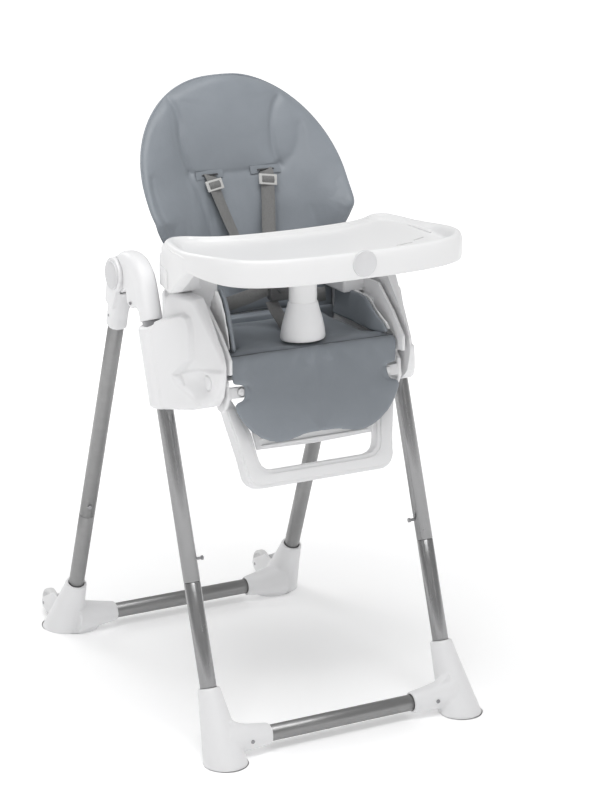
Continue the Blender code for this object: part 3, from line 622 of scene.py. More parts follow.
def socket(side_name, side):
    """The rear leg's socket: a round cheek over the hinge and a square-shouldered sleeve below it."""
    name = f"hinge_socket_{side_name}"
    down = Vector((0, -REAR_SLOPE, -1)).normalized()
    tilt = math.atan2(-down.z, down.y)
    ahead = Vector((0, down.z, -down.y))
    middle = Vector((side * LEG_X, PIVOT.y, PIVOT.z))
    rings = []
    for i in range(13):
        t = i / 12
        wide, deep = 0.0212 - 0.0042 * min(1, t * 1.6), 0.0235 - 0.0062 * min(1, t * 1.5)
        centre = middle + down * (0.026 + 0.079 * t) + Vector((side * 0.0025 * (1 - t), 0, 0))
        rings.append([
            centre + Vector((wide * boxy(math.cos(a)), 0, 0)) + ahead * deep * boxy(math.sin(a))
            for a in (2 * math.pi * j / 48 for j in range(48))
        ])
    cheek_in, cheek_out = side * (HINGE_SPLIT_X + 0.0006), side * (CHEEK_OUTER_X - 0.001)
    cheek = cone((cheek_in, PIVOT.y, PIVOT.z), (cheek_out, PIVOT.y, PIVOT.z), 0.0302, None, 64)
    neck = [(-0.004, -0.0225), (0.040, -0.019), (0.062, -0.0155), (0.062, 0.0155), (0.040, 0.019),
            (-0.004, 0.0225)]
    place = Matrix.Translation((0, PIVOT.y, PIVOT.z)) @ Matrix.Rotation(-tilt, 4, "X") @ ACROSS_X
    strap = slab(neck, *sorted((cheek_in, side * (CHEEK_OUTER_X - 0.002))), place)
    skin = fuse([loft(rings), cheek, strap], 0.0016, 6)
    room = cone((side * 0.19, PIVOT.y, PIVOT.z), (side * (HINGE_SPLIT_X + 0.0004), PIVOT.y, PIVOT.z),
                0.0334, None, 72)
    bore = cone(leg_point(False, side, 0.6), leg_point(False, side, 0.66), TUBE_R + 0.0012)
    put(f"{name}_moulding", carve(skin, room, bore), WHITE, "rear_frame", "white_plastic", name, crease=35)
    centre = PIVOT + down * 0.083
    screw_head(f"{name}_screw", (side * 0.2416, centre.y, centre.z), (side, 0, 0), "rear_frame", 0.0026)
    start = Vector((side * (CHEEK_OUTER_X - 0.0015), PIVOT.y, PIVOT.z))
    dome = [(0.0250, -0.0005), (0.0250, 0.0022), (0.0244, 0.0032), (0.0234, 0.0036), (0.0226, 0.0033)]
    dome += [(0.0218, 0.0033), (0.0210, 0.0038), (0.016, 0.0043), (0.009, 0.0046), (0.001, 0.0047)]
    cap = lathe(dome, along(start, start + Vector((side, 0, 0))), 72)
    put(f"hinge_cap_{side_name}_moulding", cap, BADGE, "rear_frame", "badge_grey", f"hinge_cap_{side_name}",
        crease=50)


def leg_frames():
    for side_name, side in SIDES:
        for front, prefix, seam_z, top_z in ((True, "front", FRONT_SEAM_Z, 0.72),
                                             (False, "rear", REAR_SEAM_Z, 0.69)):
            body = f"{prefix}_frame"
            seam = leg_point(front, side, seam_z)
            material = TUBE if front else BAR
            for part, start, end in (
                ("upper", seam, leg_point(front, side, top_z)), ("lower", leg_point(front, side, 0.04), seam),
            ):
                node = f"{prefix}_leg_{part}_{side_name}"
                tube(f"{node}_tube", start, end, body, material, node)
            foot(front, side_name, side)
        knuckle(side_name, side)
        socket(side_name, side)
        wheel(side_name, side)
        button = leg_point(False, side, 0.283)
        normal = Vector((side * 0.25, -0.93, -0.3)).normalized()
        stud = lathe([(0.0042, 0.010), (0.0042, 0.0146), (0.0034, 0.0158), (0.0006, 0.0161)],
                     along(button, button + normal), 28)
        put(f"snap_button_{side_name}", stud, STEEL, "rear_frame", "steel_pin")
    for prefix, y in (("front", FRONT_BAR_Y), ("rear", REAR_BAR_Y)):
        node = f"{prefix}_crossbar"
        tube(f"{node}_tube", (-0.17, y, BAR_Z), (0.17, y, BAR_Z), f"{prefix}_frame", BAR, node)


# ---------------------------------------------------------------- seat mouldings

HOUSING_OUTLINE = [
    (-0.184, 0.744), (-0.222, 0.704), (-0.254, 0.668), (-0.263, 0.652), (-0.266, 0.634), (-0.262, 0.612),
    (-0.256, 0.592), (-0.240, 0.575), (-0.210, 0.5640), (-0.155, 0.5545), (-0.110, 0.548), (-0.1005, 0.552),
    (-0.097, 0.560), (-0.080, 0.612), (-0.062, 0.664), (-0.060, 0.674), (-0.070, 0.680), (-0.105, 0.684),
    (-0.118, 0.692), (-0.121, 0.738), (-0.130, 0.745),
]
BULGE_OUTLINE = [
    (-0.168, 0.716), (-0.100, 0.690), (-0.02, 0.690), (-0.02, 0.52), (-0.222, 0.52), (-0.228, 0.574),
    (-0.205, 0.590), (-0.180, 0.604), (-0.170, 0.616), (-0.184, 0.632), (-0.197, 0.646), (-0.190, 0.690),
    (-0.181, 0.712),
]
NOSE_OUTLINE = [
    (-0.30, 0.645), (-0.205, 0.632), (-0.176, 0.620), (-0.185, 0.600), (-0.210, 0.580), (-0.235, 0.54),
    (-0.30, 0.54),
]


def housing(side_name, side):
    """The cover on the front tube: a bulge, a sloping panel ahead and a dished nose with the button."""
    name = f"slide_housing_{side_name}"
    plate = slab(HOUSING_OUTLINE, 0.0, 0.04)
    plate = modified(plate, ("REMESH", {"mode": "VOXEL", "voxel_size": 0.0018}),
                     ("SMOOTH", {"factor": 0.5, "iterations": 3}))
    points = coords(plate)
    flat, rise = points[:, :2], np.clip(points[:, 2] / 0.04, 0, 1)
    y, z = flat[:, 0], flat[:, 1]
    from_tube = y - (FRONT_Y0 + FRONT_SLOPE * z)
    panel = np.interp(from_tube, [-0.2, -0.15, -0.09, -0.04, 0.0], [0.011, 0.0135, 0.0325, 0.052, 0.069])
    plane = np.interp(from_tube, [-0.12, -0.09, -0.025, 0.0, 0.03], [0.0275, 0.0402, 0.0725, 0.0800, 0.060])
    round_tube = 0.0575 + np.sqrt(np.maximum(0, 0.0255**2 - np.minimum(0.0254, np.abs(from_tube)) ** 2))
    bulge = np.where(from_tube > 0, round_tube, np.maximum(plane, np.where(from_tube > -0.02, round_tube, 0)))
    edge = line_distance(flat, BULGE_OUTLINE, True) * np.where(inside(flat, BULGE_OUTLINE), 1, -1)
    share = smooth_step((edge + 0.0012) / 0.0032)
    outer = panel + (bulge - panel) * share
    nose = line_distance(flat, NOSE_OUTLINE, True) * np.where(inside(flat, NOSE_OUTLINE), 1, -1)
    well = np.hypot((y + 0.216) / 1.25, z - 0.610)
    lift = 0.0042 * smooth_step((nose + 0.001) / 0.005) - 0.0105 * (1 - smooth_step((well - 0.004) / 0.026))
    outer = outer + lift * (1 - share)
    rim = line_distance(flat, HOUSING_OUTLINE, True)
    turn = 0.0075
    near = np.clip((turn - rim) / turn, 0, 1)
    outer = outer - turn * (1 - np.sqrt(1 - near * near))
    depth = np.maximum(outer, 0.004) * rise
    depth = np.maximum(depth, np.minimum(0.0065, np.maximum(outer, 0.004)))
    set_coords(plate, np.stack([side * (HOUSING_INNER_X + depth), y, z], axis=1))
    plate = modified(plate, ("SMOOTH", {"factor": 0.5, "iterations": 1}))
    bm = bmesh.new()
    bm.from_mesh(plate)
    plate = from_bm(bm)
    centre = Vector((0, -0.233, 0.6135))
    well = side_slab([(centre.y + p, centre.z + q) for p, q in button_outline(0.0128)], side, 0.1830,
                     0.30)
    below = cone(leg_point(True, side, 0.50), leg_point(True, side, 0.5565), TUBE_R + 0.0016)
    above = cone(leg_point(True, side, 0.672), leg_point(True, side, 0.76), TUBE_R + 0.0016)
    plate = carve(plate, well, below, above)
    put(f"{name}_moulding", plate, WHITE, "seat", "white_plastic", name, crease=50)
    key = side_slab([(centre.y + p, centre.z + q) for p, q in button_outline(0.0118)], side, 0.176, 0.1912,
                    0.0022, 3)
    button = f"height_button_{side_name}"
    put(f"{button}_moulding", key, WHITE, button, "white_plastic", button)
    place = Vector((side * 0.2135, -0.077, 0.622))
    screw_head(f"{name}_screw", place, (side * 0.55, 0.83, 0), "seat", 0.0028)
    liner = [(-0.112, 0.730), (-0.176, 0.728), (-0.226, 0.690), (-0.262, 0.655), (-0.262, 0.630),
             (-0.200, 0.620), (-0.112, 0.620)]
    put(f"{name}_liner", side_slab(liner, side, 0.1585, 0.1648, 0.0022, 2), WHITE, "seat", "white_plastic")


def button_outline(radius):
    """A D-shaped button with its flat side to the rear."""
    return [(radius * 0.75, -radius * 0.8), (radius * 0.75, radius * 0.8), *arc((0, 0), radius, 80, 280, 18)]


def tub():
    """The white tub under the pads, with a lip and ribs underneath."""
    outline = [(-0.205, 0.603), (0.034, 0.603), (0.036, 0.606), (0.036, 0.700), (0.030, 0.706),
               (-0.165, 0.706)]
    outline += [(-0.196, 0.690), (-0.207, 0.670), (-0.207, 0.606)]
    body = slab(outline, -0.146, 0.146, ACROSS_X, 0.004, 3)
    room = block((-0.1395, -0.3, 0.610), (0.1395, 0.1, 0.8))
    put("seat_shell_moulding", carve(body, room), WHITE, "seat", "white_plastic", "seat_shell", crease=35)
    for i in range(5):
        x = -0.1 + 0.05 * i
        put(f"seat_rib_{i + 1}", block((x - 0.0012, -0.19, 0.598), (x + 0.0012, 0.03, 0.6035), 0.0005, 1),
            WHITE, "seat", "white_plastic")
    bar = block((-0.1388, -0.060, 0.640), (0.1388, -0.0375, 0.6665), 0.004)
    put("seat_trim_rear", bar, COVER, "seat", "leatherette")
    for side_name, side in SIDES:
        rest = side_block(side, (0.1185, -0.129, 0.7035), (0.1850, -0.056, 0.7995), 0.005)
        put(f"armrest_{side_name}_moulding", rest, WHITE, "seat", "white_plastic", f"armrest_{side_name}")
        rail = side_block(side, (0.160, -0.150, 0.7475), (0.2065, -0.085, 0.8035), 0.004)
        put(f"tray_rail_{side_name}", rail, WHITE, "seat", "white_plastic")
        boss = cone((side * 0.1461, 0.0, 0.635), (side * 0.1500, 0.0, 0.635), 0.013, 0.012, 40)
        put(f"recline_boss_{side_name}", rounded(boss, 0.0012, 2), WHITE, "seat", "white_plastic")
        trim = side_block(side, (0.092, -0.0545, 0.655), (0.1388, -0.040, 0.742), 0.004)
        put(f"seat_trim_{side_name}", trim, COVER, "seat", "leatherette")
        arm = side_block(side, (0.1463, -0.165, 0.640), (0.1652, -0.06, 0.700), 0.003)
        put(f"seat_bracket_{side_name}", arm, WHITE, "seat", "white_plastic")


# ---------------------------------------------------------------- tray

OUTER_HALF = [
    (0.0, -0.4132), (0.055, -0.4125), (0.105, -0.4092), (0.150, -0.4005), (0.188, -0.3845), (0.213, -0.3590),
    (0.2265, -0.322), (0.2318, -0.275), (0.2320, -0.230), (0.2285, -0.190), (0.2228, -0.155),
    (0.2165, -0.128),
    (0.2085, -0.1125), (0.195, -0.1065), (0.181, -0.1105), (0.165, -0.124), (0.130, -0.142), (0.080, -0.152),
    (0.0, -0.156),
]
DISH_HALF = [
    (0.0, -0.392), (0.053, -0.3915), (0.100, -0.388), (0.141, -0.3795), (0.174, -0.3655), (0.196, -0.344),
    (0.2065, -0.310), (0.2105, -0.270), (0.2098, -0.228), (0.2050, -0.192), (0.1985, -0.165), (0.190, -0.149),
    (0.180, -0.142), (0.170, -0.1425), (0.155, -0.149), (0.140, -0.155), (0.118, -0.162), (0.075, -0.170),
    (0.0, -0.174),
]


def tray_rings():
    outer = np.array(curve_through(mirrored(OUTER_HALF), 8))
    dish = np.array(curve_through(mirrored(DISH_HALF), 8))
    top = 0.850 - 0.0155 * smooth_step((outer[:, 1] + 0.37) / 0.2)
    middle = np.array([0.0, -0.27])
    rings = []

    def ring(share, height, shrink=1.0):
        plan = outer + (dish - outer) * share
        plan = middle + (plan - middle) * shrink
        heights = np.broadcast_to(height, len(plan))
        rings.append([Vector((x, y, z)) for (x, y), z in zip(plan, heights)])

    ring(1, DISH_Z - 0.0035, 0.05)
    ring(1, DISH_Z - 0.0035, 0.6)
    ring(0.95, DISH_Z - 0.0035)
    ring(0.45, DISH_Z - 0.0035)
    ring(0.30, DISH_Z - 0.006)
    ring(0.23, 0.815)
    ring(0.20, TRAY_LOW_Z + 0.0012)
    ring(0.16, TRAY_LOW_Z)
    ring(0.09, TRAY_LOW_Z)
    ring(0.04, TRAY_LOW_Z + 0.0010)
    ring(0.015, TRAY_LOW_Z + 0.003)
    ring(0.0, TRAY_LOW_Z + 0.008)
    ring(0.0, (top + TRAY_LOW_Z) / 2)
    ring(0.01, top - 0.0125)
    ring(0.05, top - 0.0075)
    ring(0.12, top - 0.0035)
    ring(0.22, top - 0.0010)
    ring(0.34, top)
    ring(0.45, top - 0.0010)
    ring(0.56, top - 0.0038)
    ring(0.68, DISH_Z + (top - DISH_Z) * 0.58)
    ring(0.80, DISH_Z + (top - DISH_Z) * 0.28)
    ring(0.90, DISH_Z + (top - DISH_Z) * 0.09)
    ring(1.0, DISH_Z + 0.0004)
    ring(1.0, DISH_Z, 0.96)
    ring(1.0, DISH_Z, 0.7)
    ring(1.0, DISH_Z, 0.35)
    ring(1.0, DISH_Z, 0.05)
    return rings


def arm_shape(mesh, side):
    """Moves a slab, whose X is its thickness, out to the tray's side wall."""
    points = coords(mesh)
    wall = np.interp(points[:, 1], [-0.275, -0.230, -0.190, -0.155, -0.128, -0.1065],
                     [0.2318, 0.2322, 0.2290, 0.2235, 0.2175, 0.212])
    points[:, 0] = side * (wall - 0.0232 + points[:, 0])
    set_coords(mesh, points)
    bm = bmesh.new()
    bm.from_mesh(mesh)
    return from_bm(bm)


def tray():
    """The tray's dished top, arms, grips, blank disc, crotch post and release lever."""
    top = loft(tray_rings())
    slots = []
    for side in (-1, 1):
        slot = ((0.117, -0.3125), (0.151, -0.3045), (0.151, -0.3010), (0.117, -0.3090))
        outline = [(side * x, y) for x, y in slot]
        slots.append(slab(outline, DISH_Z - 0.0026, 0.84))
    slots.append(slab([(0.160, -0.2935), (0.187, -0.281), (0.187, -0.2775), (0.160, -0.2900)],
                      DISH_Z - 0.0026, 0.84))
    top = carve(top, *slots)
    put("tray_moulding", top, TRAY_WHITE, "tray", "tray_plastic", "tray", crease=50)
    arm = [(-0.262, 0.830), (-0.256, 0.812), (-0.236, 0.799), (-0.207, 0.779), (-0.176, 0.7585),
           (-0.164, 0.7525)]
    arm += [(-0.116, 0.7515), (-0.109, 0.757), (-0.1065, 0.790), (-0.1075, 0.818), (-0.118, 0.826),
            (-0.2, 0.829)]
    grip = [(-0.1105, 0.7885), (-0.1535, 0.7885), (-0.1580, 0.784), (-0.1580, 0.7595), (-0.154, 0.7555)]
    grip += [(-0.116, 0.7555), (-0.1105, 0.761)]
    for side_name, side in SIDES:
        skin = arm_shape(fuse([side_slab(arm, 1, 0.0, 0.0235)], 0.0016, 7), side)
        put(f"tray_arm_{side_name}", skin, TRAY_WHITE, "tray", "tray_plastic", crease=60)
        tab = arm_shape(side_slab(grip, 1, 0.010, 0.0258, 0.0014, 3), side)
        put(f"tray_grip_{side_name}", tab, TRAY_WHITE, "tray", "tray_plastic")
    place = along((0, -0.4110, 0.8310), (0, -0.5, 0.8310))
    disc = [(0.0215, 0.0), (0.0215, 0.0030), (0.0211, 0.0037), (0.0204, 0.0040), (0.0198, 0.0036),
            (0.001, 0.0036)]
    put("tray_badge_disc", lathe(disc, place, 72), BADGE, "tray", "badge_grey", "tray_badge", crease=50)
    neck = [(0.0215, 0.8222), (0.0238, 0.8215), (0.0240, 0.800), (0.0243, 0.740), (0.0246, 0.716)]
    put("crotch_post_neck", lathe(neck, Matrix.Translation((0, POST_Y, 0)), 72, 0.80), TRAY_WHITE, "tray",
        "tray_plastic")
    flare = [(0.0240, 0.7225), (0.0256, 0.7222), (0.0266, 0.7195), (0.0285, 0.7115), (0.0318, 0.7010),
             (0.0350, 0.6900)]
    flare += [(0.0375, 0.6790), (0.0390, 0.6690), (0.0396, 0.6640), (0.0392, 0.6608), (0.0380, 0.6590),
              (0.0350, 0.6585)]
    put("crotch_post_flare", lathe(flare, Matrix.Translation((0, POST_Y, 0)), 72, 0.78), WHITE, "tray",
        "white_plastic", "crotch_post")
    latch = block((-0.045, -0.395, 0.809), (0.045, -0.378, 0.819), 0.003)
    put("tray_release_lever", latch, WHITE, "tray_release", "white_plastic", "tray_release")


# ---------------------------------------------------------------- footrest

def foot_place(s, depth):
    """Y and Z of a point s down the footrest's face and depth behind it."""
    y = FOOT_PIVOT.y - math.sin(FOOT_TILT) * s + math.cos(FOOT_TILT) * (depth - FOOT_FACE)
    z = FOOT_PIVOT.z - math.cos(FOOT_TILT) * s - math.sin(FOOT_TILT) * (depth - FOOT_FACE)
    return y, z


def foot_slab(outline, front, back, bevel=0.0, segments=3):
    """A slab in the tilted plane of the footrest, from front to back behind its face."""
    place = Matrix.Translation((0, *foot_place(0, 0))) @ Matrix.Rotation(-FOOT_TILT, 4, "X") @ ACROSS_Y
    return slab([(x, -s) for x, s in outline], -back, -front, place, bevel, segments)


def footrest():
    length = 0.211
    outer = [(0.1642, -0.010), (0.1642, 0.045), (0.158, 0.085), (0.150, 0.125), (0.143, 0.160)]
    outer += arc((0.112, length - 0.028), 0.028, 10, 90, 12)
    inner = [(0.090, 0.182), (0.100, 0.1795), (0.1075, 0.173), (0.1115, 0.163), (0.1135, 0.150),
             (0.118, 0.120)]
    inner += [(0.134, 0.080), (0.146, 0.060), (0.1565, 0.040), (0.1565, -0.010)]
    around = outer + [(-x, s) for x, s in reversed(outer)] + [(-x, s) for x, s in reversed(inner)] + inner
    parts = [foot_slab(around, 0.0006, 0.0236)]
    for side_name, side in SIDES:
        tab = [(side * x, s) for x, s in arc((TAB_X, TAB_S), 0.0095, 90, 270, 16)]
        tab += [(side * 0.158, TAB_S - 0.0095), (side * 0.158, TAB_S + 0.0095)]
        parts.append(foot_slab(tab, -0.0215, 0.010))
    cheek = arc((FOOT_PIVOT.y, FOOT_PIVOT.z), 0.0335, 40, 196, 18)
    cheek += [foot_place(0.030, -0.0262), foot_place(0.056, -0.0230), foot_place(0.070, -0.0120),
              foot_place(0.078, 0.0040)]
    cheek += [foot_place(0.074, 0.022)]
    cheek += [foot_place(0.035, 0.030)]
    parts += [side_slab(cheek, side, 0.1580, 0.1645) for side in (-1, 1)]
    skin = fuse(parts, 0.0017, 5)
    wells = []
    for side_name, side in SIDES:
        start = Vector((side * (TAB_X + 0.003), *foot_place(TAB_S, -0.0142)))
        end = Vector((side * (TAB_X + 0.003), *foot_place(TAB_S, -0.05)))
        wells.append(cone(start, end, 0.0076, None, 40))
        place = along(Vector((start.x, *foot_place(TAB_S, -0.0182))), end)
        key = lathe([(0.0066, 0.0), (0.0066, 0.0058), (0.0060, 0.0068), (0.0045, 0.0073), (0.0005, 0.0075)],
                    place, 40)
        node = f"footrest_button_{side_name}"
        put(f"{node}_moulding", key, WHITE, node, "white_plastic", node)
    put("footrest_frame_moulding", carve(skin, *wells), WHITE, "footrest", "white_plastic",
        "footrest_frame", crease=50)
    band_out = [(0.1575, 0.070), (0.1455, 0.125), (0.1385, 0.160)]
    band_out += arc((0.1115, length - 0.0285), 0.0225, 10, 90, 10)
    band_in = [(0.0900, 0.1885), (0.1050, 0.1855), (0.1150, 0.176), (0.1190, 0.163), (0.1205, 0.150),
               (0.1250, 0.122)]
    band_in += [(0.1400, 0.082), (0.1450, 0.072)]
    band = band_out + [(-x, s) for x, s in reversed(band_out)]
    band += [(-x, s) for x, s in reversed(band_in)] + band_in
    put("footrest_frame_band", foot_slab(band, -0.0012, 0.004, 0.0011, 3), WHITE, "footrest", "white_plastic")
    panel = mirrored([(0.0, 0.058), (0.108, 0.058), (0.1165, 0.080), (0.1125, 0.118), (0.1085, 0.147),
                      (0.0, 0.150)])
    ribs = [foot_slab([(-0.100, s), (0.100, s), (0.100, s + 0.0035), (-0.100, s + 0.0035)], 0.0055, 0.010,
                      0.0012, 2)
            for s in (0.080, 0.092, 0.104, 0.116, 0.128, 0.140)]
    plate = merged(foot_slab(panel, 0.008, 0.014, 0.0012, 2), *ribs)
    put("calf_panel_moulding", plate, WHITE, "footrest", "white_plastic", "calf_panel")


# ---------------------------------------------------------------- padding

def pad_mesh(outline, thickness, voxel, edge, place):
    """A flat pad with rounded edges, evenly remeshed, then bent by place(x, y, w), w -1 to 1 across."""
    mesh = slab(outline, 0.0, thickness)
    mesh = modified(mesh, ("REMESH", {"mode": "VOXEL", "voxel_size": voxel}),
                    ("SMOOTH", {"factor": 0.5, "iterations": 2}))
    points = coords(mesh)
    flat = points[:, :2]
    across = np.clip(points[:, 2] / thickness, 0, 1) * 2 - 1
    near = np.clip((edge - line_distance(flat, outline, True)) / edge, 0, 1)
    across = across * np.sqrt(np.maximum(0.02, 1 - near * near))
    set_coords(mesh, place(flat[:, 0], flat[:, 1], across))
    bm = bmesh.new()
    bm.from_mesh(mesh)
    return from_bm(bm), flat, across


def puff(mesh, held, cap, pressure=4.0, frames=20):
    """Blows the pad up like a sewn cover; held, from 0 to 1, is how firmly a point stays at its seam."""
    before = coords(mesh)
    obj = bpy.data.objects.new("temporary", mesh)
    bpy.context.scene.collection.objects.link(obj)
    group = obj.vertex_groups.new(name="seams")
    for level in range(1, 11):
        picked = np.nonzero(np.round(held * 10) == level)[0]
        group.add([int(i) for i in picked], level / 10, "REPLACE")
    cloth = obj.modifiers.new("cloth", "CLOTH")
    settings = cloth.settings
    settings.quality = 4
    settings.mass = 0.25
    settings.tension_stiffness = 12
    settings.compression_stiffness = 12
    settings.shear_stiffness = 4
    settings.bending_stiffness = 0.35
    settings.use_pressure = True
    settings.uniform_pressure_force = pressure
    settings.vertex_group_mass = "seams"
    settings.pin_stiffness = 1.0
    settings.effector_weights.gravity = 0
    scene = bpy.context.scene
    for number in range(1, frames + 1):
        scene.frame_set(number)
    graph = bpy.context.evaluated_depsgraph_get()
    result = bpy.data.meshes.new_from_object(obj.evaluated_get(graph))
    bpy.data.objects.remove(obj)
    scene.frame_set(1)
    move = coords(result) - before
    size = np.linalg.norm(move, axis=1, keepdims=True)
    set_coords(result, before + move * np.minimum(1, cap / np.maximum(size, 1e-9)))
    return result


def finer(mesh):
    """One level of subdivision."""
    return modified(mesh, ("SUBSURF", {"levels": 1, "render_levels": 1}))


def ripple(mesh, size, reach, seed):
    """Small slack folds of the cover, along its normals."""
    points = coords(mesh)
    normals = np.array([v.normal for v in mesh.vertices])
    height = np.array([noise.noise(Vector(p) * size + Vector((seed, 0, 0))) for p in points])
    set_coords(mesh, points + normals * (height * reach)[:, None])


def back_half(z):
    """Half the back's width: an elliptical dome over a waist."""
    z = np.asarray(z, float)
    dome = DOME_HALF * np.sqrt(np.maximum(0.0, 1 - ((z - DOME_Z) / (1.06 - DOME_Z)) ** 2))
    fall = np.clip((DOME_Z - z) / 0.17, 0, 1)
    waist = WAIST_HALF + (DOME_HALF - WAIST_HALF) * (0.5 + 0.5 * np.cos(math.pi * fall))
    return np.where(z > DOME_Z, dome, waist)


def back_front(x, z):
    """Y of the back's front surface at x and z."""
    z = np.asarray(z, float)
    high = 0.068 - 0.088 * (z - 0.84) / 0.21
    low = 0.068 - 0.038 * np.clip((0.84 - z) / 0.09, 0, 1)
    mix = smooth_step((z - 0.825) / 0.03)
    wing = low * (1 - mix) + high * mix
    half = np.maximum(back_half(z), 0.05)
    return BACK_Y + BACK_SLOPE * (z - BACK_Z) - wing * np.minimum(1.1, (x / half) ** 2)


CREASES = [
    ([(-0.103, 1.022), (-0.096, 1.006), (-0.0935, 0.985), (-0.0975, 0.960), (-0.0955, 0.930),
      (-0.088, 0.904)], 0.0050, 0.0042),
    ([(-0.098, 1.016), (-0.0945, 0.985), (-0.0965, 0.950), (-0.092, 0.903)], 0.0040, 0.014),
    ([(0.103, 1.012), (0.090, 0.998), (0.080, 0.972), (0.0765, 0.948), (0.0765, 0.925), (0.084, 0.902)],
     0.0046, 0.0045),
    ([(0.098, 1.016), (0.0835, 0.975), (0.0775, 0.935), (0.084, 0.902)], 0.0030, 0.014),
    ([(0.128, 0.965), (0.121, 0.940), (0.108, 0.918), (0.086, 0.903)], 0.0028, 0.0060),
    ([(-0.092, 0.902), (-0.05, 0.8970), (0.0, 0.8955), (0.05, 0.8975), (0.084, 0.901)], 0.0042, 0.0038),
    ([(-0.090, 0.898), (-0.0765, 0.850), (-0.067, 0.800), (-0.060, 0.720)], 0.0026, 0.0034),
    ([(0.0765, 0.892), (0.066, 0.850), (0.056, 0.800), (0.050, 0.720)], 0.0026, 0.0034),
    ([(-0.172, 0.905), (-0.176, 0.868), (-0.170, 0.840), (-0.156, 0.812)], 0.0040, 0.0045),
]


def cover_half(z):
    """Half the cover's width; it stays full a little lower than the shell behind it."""
    if z > DOME_Z:
        return (DOME_HALF - 0.001) * math.sqrt(max(0.0, 1 - ((z - DOME_Z) / 0.1745) ** 2))
    fall = min(1, max(0, (0.858 - z) / 0.15))
    return WAIST_HALF + (DOME_HALF - 0.001 - WAIST_HALF) * (0.5 + 0.5 * math.cos(math.pi * fall))


def back_outline():
    """The outline of the back cushion, dome over waist."""
    lower = [BACK_BOTTOM_Z + (DOME_Z - BACK_BOTTOM_Z) * i / 20 for i in range(20)]
    upper = [DOME_Z + 0.1745 * math.sin(math.pi / 2 * i / 22) for i in range(23)]
    half = [(0.0, BACK_BOTTOM_Z), (cover_half(BACK_BOTTOM_Z) - 0.010, BACK_BOTTOM_Z)]
    half += [(cover_half(z), z) for z in lower[1:]] + [(cover_half(z), z) for z in upper[:-1]]
    return mirrored([*half, (0.0, upper[-1])])


def back_cushion():
    outline = back_outline()
    middle = 0.0105

    def place(x, z, w):
        return np.stack([x, back_front(x, z) + middle - w * middle * 0.92, z], axis=1)

    mesh, flat, across = pad_mesh([(x, z) for x, z in outline], 0.021, 0.0044, 0.012, place)
    points = coords(mesh)
    front = across > -0.2
    held = np.clip(1 - line_distance(flat, outline, True) / 0.006, 0, 1)
    points_push = np.zeros(len(points))
    for line, depth, width in CREASES:
        away = line_distance(flat, curve_through(line, 6, False))
        dip = np.exp(-((away / width) ** 2))
        points_push += depth * dip
        held = np.maximum(held, np.where(front, dip * 0.9, 0))
    held = np.maximum(held, np.where(across < 0, 1.0, 0))
    points[:, 1] += np.where(across > 0, points_push * smooth_step(across * 2), 0)
    set_coords(mesh, points)
    mesh = puff(mesh, held, 0.012, 5.0)
    mesh = finer(mesh)
    ripple(mesh, 24, 0.0011, 3.0)
    obj = put("backrest_cushion_cover", mesh, COVER, "backrest", "leatherette", "backrest_cushion", crease=70)
    piping(outline)
    patches()


def ribbon(line, width_dir, half, thickness):
    """A flat tape along a line of points; width_dir gives its width direction at each point."""
    rings = []
    count = len(line)
    for i, point in enumerate(line):
        before, after = Vector(line[max(0, i - 1)]), Vector(line[min(count - 1, i + 1)])
        ahead = (after - before).normalized()
        across = Vector(width_dir(i / (count - 1)))
        across = (across - ahead * across.dot(ahead)).normalized()
        out = ahead.cross(across).normalized() * thickness / 2
        wide = across * half
        slim = across * (half - thickness * 0.4)
        centre = Vector(point)
        rings.append([
            centre + wide, centre + slim + out, centre - slim + out, centre - wide, centre - slim - out,
            centre + slim - out,
        ])
    return loft(rings)


def cord_mesh(line, radius, closed=False, segments=10):
    """A round welt along a line of points."""
    rings = []
    count = len(line)
    for i, point in enumerate(line):
        if closed:
            before, after = Vector(line[i - 1]), Vector(line[(i + 1) % count])
        else:
            before, after = Vector(line[max(0, i - 1)]), Vector(line[min(count - 1, i + 1)])
        ahead = (after - before).normalized()
        side = ahead.cross(Vector((0, 1, 0.01))).normalized()
        up = side.cross(ahead).normalized()
        rings.append([
            Vector(point) + side * radius * math.cos(a) + up * radius * math.sin(a)
            for a in (2 * math.pi * j / segments for j in range(segments))
        ])
    return loft(rings, closed)


def piping(outline):
    line = []
    for x, z in curve_through([(x * 0.995, z) for x, z in outline], 3):
        line.append(Vector((x, float(back_front(x, z)) + 0.0125, z)))
    put("backrest_piping", cord_mesh(line, 0.0021, True), COVER, "backrest", "leatherette", crease=80)


def patches():
    """The stitched window round each harness slot, and a near-black block in it that is painted shade for the
    slot's opening.
    """
    for side_name, side in SIDES:
        centre = Vector((side * 0.0536, 0, 0.8965))
        rows = []
        for x in np.linspace(-0.027, 0.027, 9):
            column = [(centre.x + x, centre.z + z) for z in (-0.0065, -0.003, 0.003, 0.0065)]
            rows.append([Vector((p, float(back_front(p, q)) + 0.0004, q)) for p, q in column])
        rings = [[*row, *[point + Vector((0, 0.0016, 0)) for point in reversed(row)]] for row in rows]
        put(f"harness_patch_{side_name}", loft(rings), COVER, "backrest", "leatherette", crease=60)
        # a thin near-black block, painted shade where the slot opens and the strap comes through
        low = Vector((centre.x - 0.0155, float(back_front(centre.x, centre.z)) - 0.0026, centre.z - 0.0012))
        high = Vector((centre.x + 0.0155, float(back_front(centre.x, centre.z)) + 0.001, centre.z + 0.0012))
        put(f"harness_slot_{side_name}", block(low, high, 0.0005, 1), SLOT_SHADE, "backrest", "leatherette")


